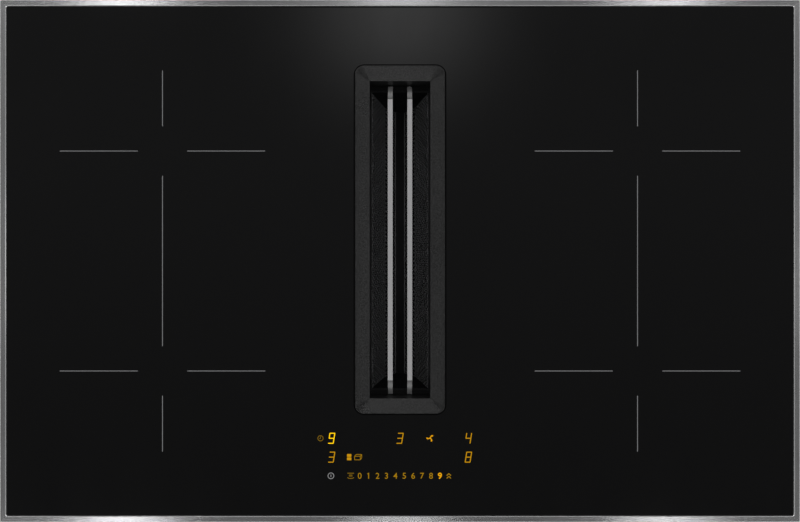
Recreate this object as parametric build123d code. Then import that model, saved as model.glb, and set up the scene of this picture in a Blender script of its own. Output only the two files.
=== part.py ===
from build123d import *
from math import acos, cos, pi, radians, sin
import os

# Built-in induction cooktop with a downdraft extractor in its middle. Millimetres.
# +X is the right side, +Y the rear and +Z up. The origin is the middle of the rim on the worktop:
# z = 0 is the worktop's surface, and everything but the rim hangs in the worktop's cut-out.

# Rim and glass
RIM_WIDTH = 806.0  # steel trim, outside
RIM_DEPTH = 526.0
RIM_OVERLAP = 13.0  # rim on the worktop, on each side of the cut-out
TRIM_BAND = 6.5  # visible width of the steel
TRIM_CORNER = 1.5
TRIM_INNER_CORNER = 2.0
TRIM_PROUD = 0.3  # how far the steel stands over the glass
TRIM_BEVEL = 1.2  # polished inner edge
TRIM_ROUND = 0.6  # softened outer edge
TRIM_FLANGE = 1.0  # ledge that carries the glass
GASKET_HEIGHT = 1.0
GASKET_BAND = 9.0
GASKET_INSET = 2.0
EDGE_JOINT = 0.9  # sealed gap between glass and steel
JOINT_DIP = 0.4
GLASS_THICKNESS = 4.0
GLASS_BEVEL = 0.4

# Air inlet cover
COVER_WIDTH = 90.5
COVER_FRONT_MARGIN = 109.3  # from the rim's front side to the cover
COVER_REAR_MARGIN = 66.3
COVER_CORNER = 9.3
COVER_PROUD = 2.0  # outer edge over the glass
COVER_LAND = 0.9  # flat top of the outer edge
COVER_STRIP = 14.5  # plan width of the sloping frame
COVER_FALL = 6.0  # drop of the slope towards the opening
COVER_SHELL = 2.2
COVER_WALL = 2.0
COVER_GAP = 1.0  # joint between cover and glass
SKIRT_DEPTH = 28.5  # inner wall of the cover, below its lip
INNER_CORNER = 0.6

# Two bars across the inlet
BAR_SPACING = 19.84
BAR_WIDTH = 4.9
BAR_FALL_LENGTH = 17.5  # plan length of each falling end
BAR_END_GAP = 0.8
BAR_TOP = 1.5
BAR_END_TOP = -22.0
BAR_CAP_DEPTH = 4.4
BAR_CAP_SHEET = 1.0
BAR_CAP_SIDE = 0.8

# Well that holds the filter
SEAL_HEIGHT = 0.6
WELL_SEAT = 3.25  # ledge under the cover's edge
WELL_WALL = 2.5
WELL_FLANGE = 16.0
WELL_CORNER = 6.0
LEDGE_WIDTH = 4.0
WELL_STEP_Z = -32.5  # top of the ledge that carries the filter
BUILD_DEPTH = 198.0  # worktop to the underside of the extractor
WINDOW_COUNT = 6
WINDOW_TOP = -64.0
WINDOW_BOTTOM = -148.0
WINDOW_RIB = 9.0

# Filter and drip tray
FILTER_FIT = 0.75  # gap to the well, all round
FILTER_TOP = -27.5
FILTER_RIM = 1.5
FILTER_BAND = 2.0
FILTER_SET_IN = 1.35  # from the inlet's edge in to the mesh, each side
FILTER_HALF_KNEE = 17.0
FILTER_KNEE_Z = -120.0
FILTER_HALF_FOOT = 5.0
FILTER_FOOT_Z = -148.0
FILTER_END_MARGIN = 16.95  # from the well's mouth in to the mesh, each end
MESH_SHEET = 1.2
REST_GAP = 0.3  # between lift-out pieces
TRAY_FIT = 2.0
TRAY_WALL = 2.0
TRAY_RIM_Z = -152.0
TRAY_CORNER = 4.0
TRAY_ROUND = 2.5
GRIP_WIDTH = 34.0
GRIP_HEIGHT = 24.0
GRIP_BAR = 6.0

# Sheet-metal base tray
TRAY_CLEARANCE = 5.0  # to the cut-out, each side
SHEET = 1.0
BASE_HEIGHT = 53.0
BASE_CORNER = 6.0
BASE_LIP = 8.0
PASS_GAP = 1.0  # round what goes through a panel
SIDE_VENT_COUNT = 8
REAR_VENT_COUNT = 10
VENT_PITCH = 24.0
VENT_WIDTH = 4.0
VENT_LENGTH = 22.0
WIRE_HOLE_DEPTH = 22.0
WIRE_HOLE_CORNER = 4.0
BEAD_HEIGHT = 1.5  # stiffening bead pressed down in the floor
BEAD_WIDTH = 10.0
BEAD_LENGTH = 260.0
BEAD_INSET = 40.0  # from the tray's side to the bead

# Swing clamps
CLAMP_INSET = 60.0  # from the tray's side to a notch's middle
NOTCH_WIDTH = 60.0
NOTCH_DEPTH = 17.0
CLAMP_SHEET = 1.5
CLAMP_HEIGHT = 40.0
CLAMP_TOP = -5.0
CLAMP_PIVOT_SHIFT = 20.0
SCREW_RADIUS = 2.5
SCREW_HEAD_RADIUS = 4.5
SCREW_HEAD = 3.0
RUNNING_GAP = 0.05
ARM_WIDTH = 12.0
ARM_CLEARANCE = 1.05  # from the arm's hub to the bracket's back
ARM_REACH = 42.0
ARM_THICKNESS = 3.0
ARM_Z = -38.0
ARM_PAD = 3.0
ARM_PAD_LENGTH = 9.0

# Induction coils
ZONE_SIDE_INSET = 163.7  # from the rim's side to a zone's centre
ZONE_ROW_INSET = 152.2
COIL_WIDTH = 200.0
COIL_ROW_GAP = 36.6  # between the front and the rear coil
COIL_STRAIGHT = 29.0  # straight part of a coil's short side
COIL_EYE_WIDTH = 58.0
COIL_EYE_DEPTH = 48.0
COIL_EYE_CORNER = 20.0
COIL_HEIGHT = 5.0
COIL_GROOVES = 2
GROOVE_WIDTH = 1.2
GROOVE_DEPTH = 1.0
INSULATION = 2.0
INSULATION_EDGE = 4.0
FERRITE_COUNT = 8
FERRITE_START = 38.0  # from the coil's centre
FERRITE_MARGIN = 6.5  # from a bar's outer end to the coil's edge
FERRITE_WIDTH = 12.0
FERRITE_HEIGHT = 5.0
CARRIER_SHEET = 1.5
CARRIER_CORNER = 14.0
SENSOR_RADIUS = 7.0
POST_RADIUS = 4.0
POST_INSET_X = 12.0
POST_INSET_Y = 12.0

# Power electronics
BOARD = 1.6
BOARD_STANDOFF = 6.4
LEG_RADIUS = 3.0
LEG_INSET = 4.0
POWER_BOARD_WIDTH = 150.0
FAN_BOARD_GAP = 19.0
SIDE_BOARD_WIDTH = 140.0
SIDE_BOARD_DEPTH = 60.0
SIDE_BOARD_GAP = 9.0
SIDE_BOARD_MARGIN = 27.0  # from the small boards to the tray's rear
SINK_WIDTH = 60.0
SINK_MARGIN = 30.0  # from the heat sink to the board's ends
SINK_BASE = 4.0
SINK_HEIGHT = 22.0
SINK_FINS = 9
FIN = 1.6
SINK_SHIFT = 32.0
SWITCH_WIDTH = 16.0
SWITCH_DEPTH = 5.0
SWITCH_HEIGHT = 20.0
SWITCH_COUNT = 4
CAPACITOR_RADIUS = 11.0
CAPACITOR_HEIGHT = 24.0
CAPACITOR_INSET = 19.0  # from a power board's edge
CHOKE_RADIUS = 16.0
CHOKE_HOLE = 7.0
CHOKE_HEIGHT = 15.0
CHOKE_SHIFT = 36.0

# Cooling fans
FAN_FRONT_GAP = 15.0  # to the tray's front
FAN_SIZE = 80.0
FAN_HEIGHT = 25.0
FAN_CORNER = 5.0
FAN_BORE = 38.0
FAN_TIP_GAP = 1.2
FAN_HUB = 18.0
FAN_SEAT = 17.0
FAN_BLADES = 7
FAN_BLADE_CHORD = 22.0
FAN_BLADE_PITCH = 35.0
FAN_BLADE_ROOT = 2.0  # length of a blade inside the hub
FAN_BLADE = 1.2
FAN_STRUT = 3.0
FAN_PIN = 2.0
FAN_HOLE = 2.15
FAN_HOLE_PITCH = 71.5
GRILLE_RING = 2.0
GRILLE_RINGS = 2

# Touch panel under the front of the glass
PANEL_MARGIN = 64.0  # from the rim's front side to the panel's middle
PANEL_WIDTH = 180.0
PANEL_DEPTH = 58.0
PANEL_HEIGHT = 9.0
PANEL_WALL = 1.5
DIGIT_X = 68.9
DIGIT_ROW_REAR = 20.4  # rows are measured from the panel's middle
DIGIT_ROW_FRONT = 1.4
DIGIT_WIDTH = 12.0
DIGIT_DEPTH = 14.0
KEY_ROW = -17.4
KEY_FIRST_X = -40.8
KEY_PITCH = 8.98
KEY_COUNT = 11
POWER_KEY_X = -69.4
SPRING_RADIUS = 2.6
SPRING_WALL = 0.8
SPRING_SIDES = 8

# Mains connection
TERMINAL_SIDE_INSET = 70.0  # from the tray's left side to the box's middle
TERMINAL_REAR_INSET = 23.0
TERMINAL_WIDTH = 90.0
TERMINAL_DEPTH = 72.0
TERMINAL_HEIGHT = 34.0
TERMINAL_CORNER = 4.0
TERMINAL_WALL = 2.5
TERMINAL_LID = 2.5
TERMINAL_POLES = 5
POLE_PITCH = 12.0
POLE_GAP = 2.0
POLE_DEPTH = 24.0
POLE_STEP = 3.0
POLE_HEIGHT = 18.0
GLAND_BORE = 6.5
GLAND_RADIUS = 11.0
GLAND_SEAT = 8.5
GLAND_NUT = 7.0  # length of the hexagonal collar
GLAND_DOME = 9.2
GLAND_ROUND = 1.5
GLAND_LENGTH = 18.0
GLAND_SHIFT = 25.0  # from the box's middle

# Extractor housing and blower
HOUSING_WALL = 2.5
HOUSING_CORNER = 12.0
HOUSING_ROUND = 2.0  # softened lower edge
WELL_MARGIN = 21.0  # air space between well and housing
HOUSING_REAR_INSET = 30.0  # from the tray's rear
HOUSING_SETBACK = 38.45  # from the well's bay back to the blower's bay
HOUSING_RIB = 2.0
HOUSING_RIB_PITCH = 45.0
BLOWER_GAP = 5.0
FAN_WHEEL_RADIUS = 88.0
FAN_WHEEL_HEIGHT = 75.0
BLADE_COUNT = 36
BLADE_DEPTH = 16.0  # radial depth of a blade
BLADE_THICKNESS = 1.2
BLADE_MID_TURN = 1.0  # degrees turned forward at mid depth
BLADE_TIP_TURN = 6.0  # degrees turned forward at the tip
WHEEL_PLATE = 2.0
WHEEL_RING = 3.0
HUB_RADIUS = 38.0
HUB_HEIGHT = 44.0
HUB_SHELL = 2.0
HUB_ROUND = 4.0
TONGUE_GAP = 10.0
SCROLL_GROWTH = 30.0
TONGUE_ANGLE = 60.0
SCROLL_WALL = 2.0
SCROLL_POINTS = 12
SCROLL_LIFT = 19.5  # above the housing's floor
WHEEL_FLOOR_GAP = 4.0
WHEEL_TOP_GAP = 9.0
SCROLL_MOUTH = 100.0  # from the wheel's axis to the scroll's outlet
INLET_RADIUS = 64.0
INLET_FLARE = 14.0
INLET_SHEET = 2.0
MOTOR_AIR_GAP = 1.0
ROTOR_CUP = 3.0
SHAFT_RADIUS = 4.0
SHAFT_GAP = 0.03
BEARING_RADIUS = 8.0
BEARING_WIDTH = 5.0
BEARING_TUBE = 2.0
MOTOR_PLATE = 2.0
MOTOR_PLATE_RADIUS = 46.0
DAMPER_RADIUS = 8.0
DAMPER_CIRCLE = 80.0
DUCT_WIDTH = 222.0
DUCT_HEIGHT = 89.0
DUCT_WALL = 2.0
DUCT_CORNER = 4.0
DUCT_STUB = 28.0  # collar behind the housing
DUCT_COLLAR = 35.0
DUCT_BEAD = 2.0  # raised stop round the collar
DUCT_BEAD_WIDTH = 3.0

# Heights that follow from the stack
GLASS_UNDER = GASKET_HEIGHT + TRIM_FLANGE
GLASS_TOP = GLASS_UNDER + GLASS_THICKNESS
TRIM_TOP = GLASS_TOP + TRIM_PROUD
BASE_TOP = GASKET_HEIGHT
BASE_UNDER = BASE_TOP - BASE_HEIGHT
BASE_FLOOR = BASE_UNDER + SHEET
COIL_TOP = GLASS_UNDER - INSULATION
FERRITE_TOP = COIL_TOP - COIL_HEIGHT
CARRIER_TOP = FERRITE_TOP - FERRITE_HEIGHT
CARRIER_UNDER = CARRIER_TOP - CARRIER_SHEET
BOARD_UNDER = BASE_FLOOR + BOARD_STANDOFF
BOARD_TOP = BOARD_UNDER + BOARD
WELL_TOP = GLASS_UNDER - SEAL_HEIGHT
COVER_TOP = GLASS_TOP + COVER_PROUD
COVER_UNDER = WELL_TOP + REST_GAP
COVER_LIP = COVER_TOP - COVER_FALL
SKIRT_UNDER = COVER_LIP - SKIRT_DEPTH
LID_UNDER = BASE_UNDER - HOUSING_WALL
HOUSING_UNDER = -BUILD_DEPTH
HOUSING_FLOOR = HOUSING_UNDER + HOUSING_WALL
WELL_FLOOR = HOUSING_FLOOR + WELL_WALL
SCROLL_UNDER = HOUSING_FLOOR + SCROLL_LIFT
WHEEL_UNDER = SCROLL_UNDER + SCROLL_WALL + WHEEL_FLOOR_GAP
WHEEL_TOP = WHEEL_UNDER + FAN_WHEEL_HEIGHT
SCROLL_LID = WHEEL_TOP + WHEEL_TOP_GAP
SCROLL_TOP = SCROLL_LID + SCROLL_WALL

# Plan sizes that follow
CUTOUT_WIDTH = RIM_WIDTH - 2 * RIM_OVERLAP
CUTOUT_DEPTH = RIM_DEPTH - 2 * RIM_OVERLAP
GLASS_WIDTH = RIM_WIDTH - 2 * (TRIM_BAND + EDGE_JOINT)
GLASS_DEPTH = RIM_DEPTH - 2 * (TRIM_BAND + EDGE_JOINT)
BASE_WIDTH = CUTOUT_WIDTH - 2 * TRAY_CLEARANCE
BASE_DEPTH = CUTOUT_DEPTH - 2 * TRAY_CLEARANCE
COVER_LENGTH = RIM_DEPTH - COVER_FRONT_MARGIN - COVER_REAR_MARGIN
COVER_Y = (COVER_FRONT_MARGIN - COVER_REAR_MARGIN) / 2
OPENING_WIDTH = COVER_WIDTH - 2 * COVER_STRIP
OPENING_LENGTH = COVER_LENGTH - 2 * COVER_STRIP
MOUTH_WIDTH = COVER_WIDTH - 2 * WELL_SEAT
MOUTH_LENGTH = COVER_LENGTH - 2 * WELL_SEAT
SHAFT_WIDTH = MOUTH_WIDTH - 2 * LEDGE_WIDTH
SHAFT_LENGTH = MOUTH_LENGTH - 2 * LEDGE_WIDTH
WELL_WIDTH = SHAFT_WIDTH + 2 * WELL_WALL
WELL_LENGTH = SHAFT_LENGTH + 2 * WELL_WALL
FILTER_HALF_TOP = OPENING_WIDTH / 2 - FILTER_SET_IN
FILTER_HALF_LENGTH = MOUTH_LENGTH / 2 - FILTER_END_MARGIN
NOTCH_WALL_Y = BASE_DEPTH / 2 - NOTCH_DEPTH
CLAMP_X = BASE_WIDTH / 2 - CLAMP_INSET
CLAMP_PIVOT_Y = NOTCH_WALL_Y + CLAMP_SHEET + ARM_CLEARANCE + ARM_WIDTH / 2
ZONE_X = RIM_WIDTH / 2 - ZONE_SIDE_INSET
ZONE_Y = RIM_DEPTH / 2 - ZONE_ROW_INSET
COIL_DEPTH = 2 * ZONE_Y - COIL_ROW_GAP
COIL_CORNER = (min(COIL_WIDTH, COIL_DEPTH) - COIL_STRAIGHT) / 2
FERRITE_LENGTH = COIL_DEPTH / 2 - FERRITE_MARGIN - FERRITE_START
FAN_Y = -BASE_DEPTH / 2 + FAN_FRONT_GAP + FAN_SIZE / 2
SIDE_BOARD_Y = BASE_DEPTH / 2 - SIDE_BOARD_MARGIN - SIDE_BOARD_DEPTH / 2
POWER_BOARD_FRONT = FAN_Y + FAN_SIZE / 2 + FAN_BOARD_GAP
POWER_BOARD_REAR = SIDE_BOARD_Y - SIDE_BOARD_DEPTH / 2 - SIDE_BOARD_GAP
POWER_BOARD_DEPTH = POWER_BOARD_REAR - POWER_BOARD_FRONT
POWER_BOARD_Y = (POWER_BOARD_FRONT + POWER_BOARD_REAR) / 2
SINK_LENGTH = POWER_BOARD_DEPTH - 2 * SINK_MARGIN
PANEL_Y = -RIM_DEPTH / 2 + PANEL_MARGIN
TERMINAL_X = -BASE_WIDTH / 2 + TERMINAL_SIDE_INSET
TERMINAL_REAR = BASE_DEPTH / 2 - TERMINAL_REAR_INSET
TERMINAL_Y = TERMINAL_REAR - TERMINAL_DEPTH / 2
GLAND_X = TERMINAL_X + GLAND_SHIFT
SCROLL_START = FAN_WHEEL_RADIUS + TONGUE_GAP
SCROLL_END = SCROLL_START + SCROLL_GROWTH
SCROLL_LEFT = SCROLL_START + SCROLL_GROWTH * (180 - TONGUE_ANGLE) / (360 - TONGUE_ANGLE)
SCROLL_FRONT = SCROLL_START + SCROLL_GROWTH * (270 - TONGUE_ANGLE) / (360 - TONGUE_ANGLE)
BLOWER_X = WELL_WIDTH / 2 + WELL_MARGIN + BLOWER_GAP + SCROLL_WALL + SCROLL_LEFT
HOUSING_LEFT = -(WELL_WIDTH / 2 + WELL_MARGIN)
HOUSING_RIGHT = BLOWER_X + SCROLL_END + SCROLL_WALL + BLOWER_GAP + HOUSING_WALL
HOUSING_FRONT = COVER_Y - WELL_LENGTH / 2 - WELL_MARGIN
HOUSING_STEP = HOUSING_FRONT + HOUSING_SETBACK
HOUSING_REAR = BASE_DEPTH / 2 - HOUSING_REAR_INSET
BLOWER_Y = HOUSING_STEP + HOUSING_WALL + BLOWER_GAP + SCROLL_WALL + SCROLL_FRONT
DUCT_X = HOUSING_RIGHT - HOUSING_CORNER - PASS_GAP - DUCT_WIDTH / 2
DUCT_Z = (SCROLL_UNDER + SCROLL_TOP) / 2
DUCT_END = HOUSING_REAR + DUCT_STUB


def slab(outline, low, high):
    """A flat outline drawn out from one height to another."""
    return Pos(0, 0, low) * extrude(outline, high - low)


def rounded(width, depth, radius, x=0.0, y=0.0):
    """A rectangle with rounded corners about a point."""
    return Pos(x, y) * RectangleRounded(width, depth, radius)


def disc(radius, low, high, x=0.0, y=0.0, hole=0.0):
    """A round plate or ring about a vertical axis."""
    outline = Circle(radius) - Circle(hole) if hole else Circle(radius)
    return Pos(x, y) * slab(outline, low, high)


def block(width, depth, low, high, x=0.0, y=0.0):
    """A rectangular block standing between two heights."""
    return Pos(x, y) * slab(Rectangle(width, depth), low, high)


def standoff(radius, low, high, x, y):
    """Upright six-sided spacer."""
    return Pos(x, y) * slab(RegularPolygon(radius, 6), low, high)


def group(solids):
    """Several separate solids that share one node."""
    return Compound(children=[solid for item in solids for solid in item.solids()])


def across(profile, width, x=0.0):
    """A profile given as (y, z) points, made as thick as width about a plane across X."""
    face = Plane.YZ * make_face(Polyline(*profile, close=True))
    return Pos(x - width / 2) * extrude(face, width)


def along(profile, length, y=0.0):
    """A profile given as (x, z) points, made as long as length about a plane across Y."""
    face = Plane.XZ * make_face(Polyline(*profile, close=True))
    return Pos(0, y + length / 2) * extrude(face, length)


def spread(count, pitch, middle=0.0):
    """Evenly spaced places about a middle."""
    return [middle + (index - (count - 1) / 2) * pitch for index in range(count)]


def zone_centres():
    """Centres of the four cooking zones, by name."""
    sides = {"left": -ZONE_X, "right": ZONE_X}
    rows = {"front": -ZONE_Y, "rear": ZONE_Y}
    return {f"{row}_{side}": (x, y) for row, y in rows.items() for side, x in sides.items()}


# Rim and glass


def trim_frame():
    """Steel frame: a visible band, and a flange below that the glass is bonded to."""
    band_w, band_d = RIM_WIDTH - 2 * TRIM_BAND, RIM_DEPTH - 2 * TRIM_BAND
    frame = slab(rounded(RIM_WIDTH, RIM_DEPTH, TRIM_CORNER), GASKET_HEIGHT, TRIM_TOP)
    frame = fillet(frame.faces().sort_by(Axis.Z)[-1].edges(), TRIM_ROUND)
    frame -= slab(rounded(band_w, band_d, TRIM_INNER_CORNER), GLASS_UNDER, TRIM_TOP)
    frame -= slab(
        rounded(BASE_WIDTH - 2 * BASE_LIP, BASE_DEPTH - 2 * BASE_LIP, BASE_CORNER),
        GASKET_HEIGHT,
        GLASS_UNDER,
    )
    inner = frame.faces().sort_by(Axis.Z)[-1].inner_wires()[0]
    return chamfer(inner.edges(), TRIM_BEVEL)


def edge_seal():
    """Black sealing joint between the glass and the steel."""
    inner_corner = TRIM_INNER_CORNER - EDGE_JOINT
    outer = rounded(RIM_WIDTH - 2 * TRIM_BAND, RIM_DEPTH - 2 * TRIM_BAND, TRIM_INNER_CORNER)
    ring = outer - rounded(GLASS_WIDTH, GLASS_DEPTH, inner_corner)
    return slab(ring, GLASS_UNDER, GLASS_TOP - TRIM_BEVEL + TRIM_PROUD - JOINT_DIP)


def worktop_gasket():
    """Foam strip between the flange and the worktop."""
    width, depth = RIM_WIDTH - 2 * GASKET_INSET, RIM_DEPTH - 2 * GASKET_INSET
    ring = rounded(width, depth, TRIM_INNER_CORNER)
    ring -= rounded(width - 2 * GASKET_BAND, depth - 2 * GASKET_BAND, TRIM_INNER_CORNER)
    return slab(ring, 0, GASKET_HEIGHT)


def glass_top():
    """Ceramic glass plate with the hole for the air inlet."""
    hole = rounded(
        COVER_WIDTH + 2 * COVER_GAP, COVER_LENGTH + 2 * COVER_GAP, COVER_CORNER + COVER_GAP, y=COVER_Y
    )
    plate = rounded(GLASS_WIDTH, GLASS_DEPTH, TRIM_INNER_CORNER - EDGE_JOINT) - hole
    glass = slab(plate, GLASS_UNDER, GLASS_TOP)
    return chamfer(glass.faces().sort_by(Axis.Z)[-1].edges(), GLASS_BEVEL)


# Air inlet


def bar_line(drop):
    """The upper line of a bar, lowered by a distance: flat, with ends that fall to the walls."""
    end = OPENING_LENGTH / 2 - BAR_END_GAP
    flat = end - BAR_FALL_LENGTH
    return [
        (COVER_Y - end, BAR_END_TOP - drop),
        (COVER_Y - flat, BAR_TOP - drop),
        (COVER_Y + flat, BAR_TOP - drop),
        (COVER_Y + end, BAR_END_TOP - drop),
    ]


def bar_rib(x):
    """Moulded rib that carries one steel bar cap and runs into both end walls."""
    wall = OPENING_LENGTH / 2 + COVER_WALL / 2
    end_top = BAR_END_TOP - BAR_CAP_SHEET
    profile = bar_line(BAR_CAP_SHEET) + [
        (COVER_Y + wall, end_top),
        (COVER_Y + wall, SKIRT_UNDER),
        (COVER_Y - wall, SKIRT_UNDER),
        (COVER_Y - wall, end_top),
    ]
    return across(profile, BAR_WIDTH - 2 * BAR_CAP_SIDE, x)


def bar_cap(x):
    """Brushed steel channel that clips over a rib."""
    profile = bar_line(0) + bar_line(BAR_CAP_DEPTH)[::-1]
    return across(profile, BAR_WIDTH, x) - bar_rib(x)


def cover_frame():
    """Lift-off frame of the inlet: a sloping border, an inner wall and two ribs."""
    slope = COVER_FALL / (COVER_STRIP - COVER_LAND)
    lip_w, lip_l = OPENING_WIDTH, OPENING_LENGTH
    edge_w, edge_l = COVER_WIDTH - 2 * COVER_LAND, COVER_LENGTH - 2 * COVER_LAND
    wall_w, wall_l = COVER_WIDTH - 2 * COVER_WALL, COVER_LENGTH - 2 * COVER_WALL
    skirt_w, skirt_l = lip_w + 2 * COVER_WALL, lip_l + 2 * COVER_WALL

    body = slab(rounded(COVER_WIDTH, COVER_LENGTH, COVER_CORNER), COVER_UNDER, COVER_TOP)
    body = fillet(body.faces().sort_by(Axis.Z)[-1].edges(), COVER_LAND / 2)
    body += slab(rounded(skirt_w, skirt_l, INNER_CORNER + COVER_WALL), SKIRT_UNDER, COVER_LIP)

    edge = rounded(edge_w, edge_l, COVER_CORNER - COVER_LAND)
    lip = rounded(lip_w, lip_l, INNER_CORNER)
    body -= loft([Pos(0, 0, COVER_TOP) * edge, Pos(0, 0, COVER_LIP) * lip], ruled=True)
    body -= slab(lip, SKIRT_UNDER, COVER_LIP)

    under_top = COVER_TOP - (COVER_WALL - COVER_LAND) * slope - COVER_SHELL
    under_low = COVER_LIP + COVER_WALL * slope - COVER_SHELL
    wall = rounded(wall_w, wall_l, COVER_CORNER - COVER_WALL)
    skirt = rounded(skirt_w, skirt_l, INNER_CORNER + COVER_WALL)
    cone = loft([Pos(0, 0, under_top) * wall, Pos(0, 0, under_low) * skirt], ruled=True)
    body -= slab(wall, COVER_UNDER, under_top) - cone
    body = Pos(0, COVER_Y) * body
    return body + bar_rib(-BAR_SPACING / 2) + bar_rib(BAR_SPACING / 2)


def well():
    """Moulded well under the inlet: bonding flange, filter ledge, air windows and a closed floor."""
    upper = (MOUTH_WIDTH + 2 * WELL_WALL, MOUTH_LENGTH + 2 * WELL_WALL)
    step_under = WELL_STEP_Z - WELL_WALL
    flange = rounded(
        MOUTH_WIDTH + 2 * WELL_FLANGE, MOUTH_LENGTH + 2 * WELL_FLANGE, WELL_CORNER + WELL_FLANGE / 2
    )
    body = slab(flange, WELL_TOP - WELL_WALL, WELL_TOP)
    body += slab(rounded(*upper, WELL_CORNER + WELL_WALL), step_under, WELL_TOP - WELL_WALL)
    body += slab(rounded(WELL_WIDTH, WELL_LENGTH, WELL_CORNER), HOUSING_FLOOR, step_under)
    body -= slab(rounded(MOUTH_WIDTH, MOUTH_LENGTH, WELL_CORNER), WELL_STEP_Z, WELL_TOP)
    shaft = rounded(SHAFT_WIDTH, SHAFT_LENGTH, WELL_CORNER - WELL_WALL)
    body -= slab(shaft, WELL_FLOOR, WELL_STEP_Z)
    pitch = (SHAFT_LENGTH - 2 * WELL_CORNER) / WINDOW_COUNT
    for y in spread(WINDOW_COUNT, pitch):
        body -= block(WELL_WIDTH, pitch - WINDOW_RIB, WINDOW_BOTTOM, WINDOW_TOP, y=y)
    return Pos(0, COVER_Y) * body


def well_seal():
    """Flat seal between the well's flange and the glass."""
    outer = rounded(
        MOUTH_WIDTH + 2 * WELL_FLANGE, MOUTH_LENGTH + 2 * WELL_FLANGE, WELL_CORNER + WELL_FLANGE / 2
    )
    hole = rounded(
        COVER_WIDTH + 2 * COVER_GAP, COVER_LENGTH + 2 * COVER_GAP, COVER_CORNER + COVER_GAP
    )
    return Pos(0, COVER_Y) * slab(outer - hole, WELL_TOP, GLASS_UNDER)


# Filter and drip tray


def mesh_line(offset):
    """Half profile of the filter's mesh in (x, z), moved outwards by a distance."""
    rim_under = WELL_STEP_Z + REST_GAP
    return [
        (FILTER_HALF_TOP + offset, rim_under),
        (FILTER_HALF_KNEE + offset, FILTER_KNEE_Z),
        (FILTER_HALF_FOOT + offset, FILTER_FOOT_Z),
    ]


def filter_mesh():
    """One folded mesh wall of the filter, on the right of the inlet's middle."""
    profile = mesh_line(0) + mesh_line(MESH_SHEET)[::-1]
    return along(profile, 2 * FILTER_HALF_LENGTH, COVER_Y)


def filter_frame():
    """Frame of the lift-out filter: rim, upstand, two end plates and the rail along the foot."""
    rim_under = WELL_STEP_Z + REST_GAP
    rim_w, rim_l = MOUTH_WIDTH - 2 * FILTER_FIT, MOUTH_LENGTH - 2 * FILTER_FIT
    band_w = 2 * (FILTER_HALF_TOP + FILTER_BAND)
    band_l = 2 * (FILTER_HALF_LENGTH + FILTER_BAND)
    inner = Rectangle(2 * FILTER_HALF_TOP, 2 * FILTER_HALF_LENGTH)
    body = slab(rounded(rim_w, rim_l, WELL_CORNER - FILTER_FIT), rim_under, rim_under + FILTER_RIM)
    body += slab(Rectangle(band_w, band_l), rim_under, FILTER_TOP)
    body -= slab(inner, rim_under, FILTER_TOP)
    body = Pos(0, COVER_Y) * body

    right = mesh_line(MESH_SHEET)
    rail_under = FILTER_FOOT_Z - FILTER_BAND
    foot = FILTER_HALF_FOOT + MESH_SHEET
    half = right + [(foot, rail_under)]
    profile = half + [(-x, z) for x, z in half[::-1]]
    for side in (-1, 1):
        middle = side * (FILTER_HALF_LENGTH + FILTER_BAND / 2)
        body += along(profile, FILTER_BAND, COVER_Y + middle)
    return body + block(
        2 * foot, 2 * FILTER_HALF_LENGTH, rail_under, FILTER_FOOT_Z, y=COVER_Y
    )


def drip_tray():
    """Removable tray at the bottom of the well, with a grip at each end."""
    width, length = SHAFT_WIDTH - 2 * TRAY_FIT, SHAFT_LENGTH - 2 * TRAY_FIT
    under = WELL_FLOOR + REST_GAP
    body = slab(rounded(width, length, TRAY_CORNER), under, TRAY_RIM_Z)
    body = fillet(body.faces().sort_by(Axis.Z)[0].edges(), TRAY_ROUND)
    body -= slab(
        rounded(width - 2 * TRAY_WALL, length - 2 * TRAY_WALL, TRAY_CORNER - TRAY_WALL / 2),
        under + TRAY_WALL,
        TRAY_RIM_Z,
    )
    top = TRAY_RIM_Z + GRIP_HEIGHT
    for side in (-1, 1):
        y = side * (length - TRAY_WALL) / 2
        body += block(GRIP_WIDTH, TRAY_WALL, TRAY_RIM_Z, top, y=y)
        body -= block(GRIP_WIDTH - 2 * GRIP_BAR, TRAY_WALL, TRAY_RIM_Z + GRIP_BAR, top - GRIP_BAR, y=y)
    return Pos(0, COVER_Y) * body


# Base tray and clamps


def clamp_places():
    """Turn and notch centre of each clamp: the front pair is the rear pair turned half round."""
    return {
        "rear_left": Pos(-CLAMP_X, 0),
        "rear_right": Pos(CLAMP_X, 0),
        "front_right": Pos(CLAMP_X, 0) * Rot(0, 0, 180),
        "front_left": Pos(-CLAMP_X, 0) * Rot(0, 0, 180),
    }


def base_outline(inset):
    """Plan of the base tray with its four clamp notches, drawn in by a distance."""
    corner = max(BASE_CORNER - inset, SHEET)
    outline = rounded(BASE_WIDTH - 2 * inset, BASE_DEPTH - 2 * inset, corner)
    for place in clamp_places().values():
        notch = Rectangle(NOTCH_WIDTH + 2 * inset, NOTCH_DEPTH + inset)
        outline -= place * Pos(0, NOTCH_WALL_Y - inset + (NOTCH_DEPTH + inset) / 2) * notch
    return outline


def fan_grille(x):
    """Finger guard cut into the floor under a cooling fan: rings of slots between four spokes."""
    rings = Circle(FAN_BORE) - Circle(FAN_HUB)
    step = (FAN_BORE - FAN_HUB) / (GRILLE_RINGS + 1)
    for index in range(1, GRILLE_RINGS + 1):
        radius = FAN_HUB + index * step
        rings -= Circle(radius + GRILLE_RING / 2) - Circle(radius - GRILLE_RING / 2)
    for turn in (45, 135):
        rings -= Rot(0, 0, turn) * Rectangle(2 * FAN_SIZE, 2 * FAN_STRUT)
    return Pos(x, FAN_Y) * rings


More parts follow.
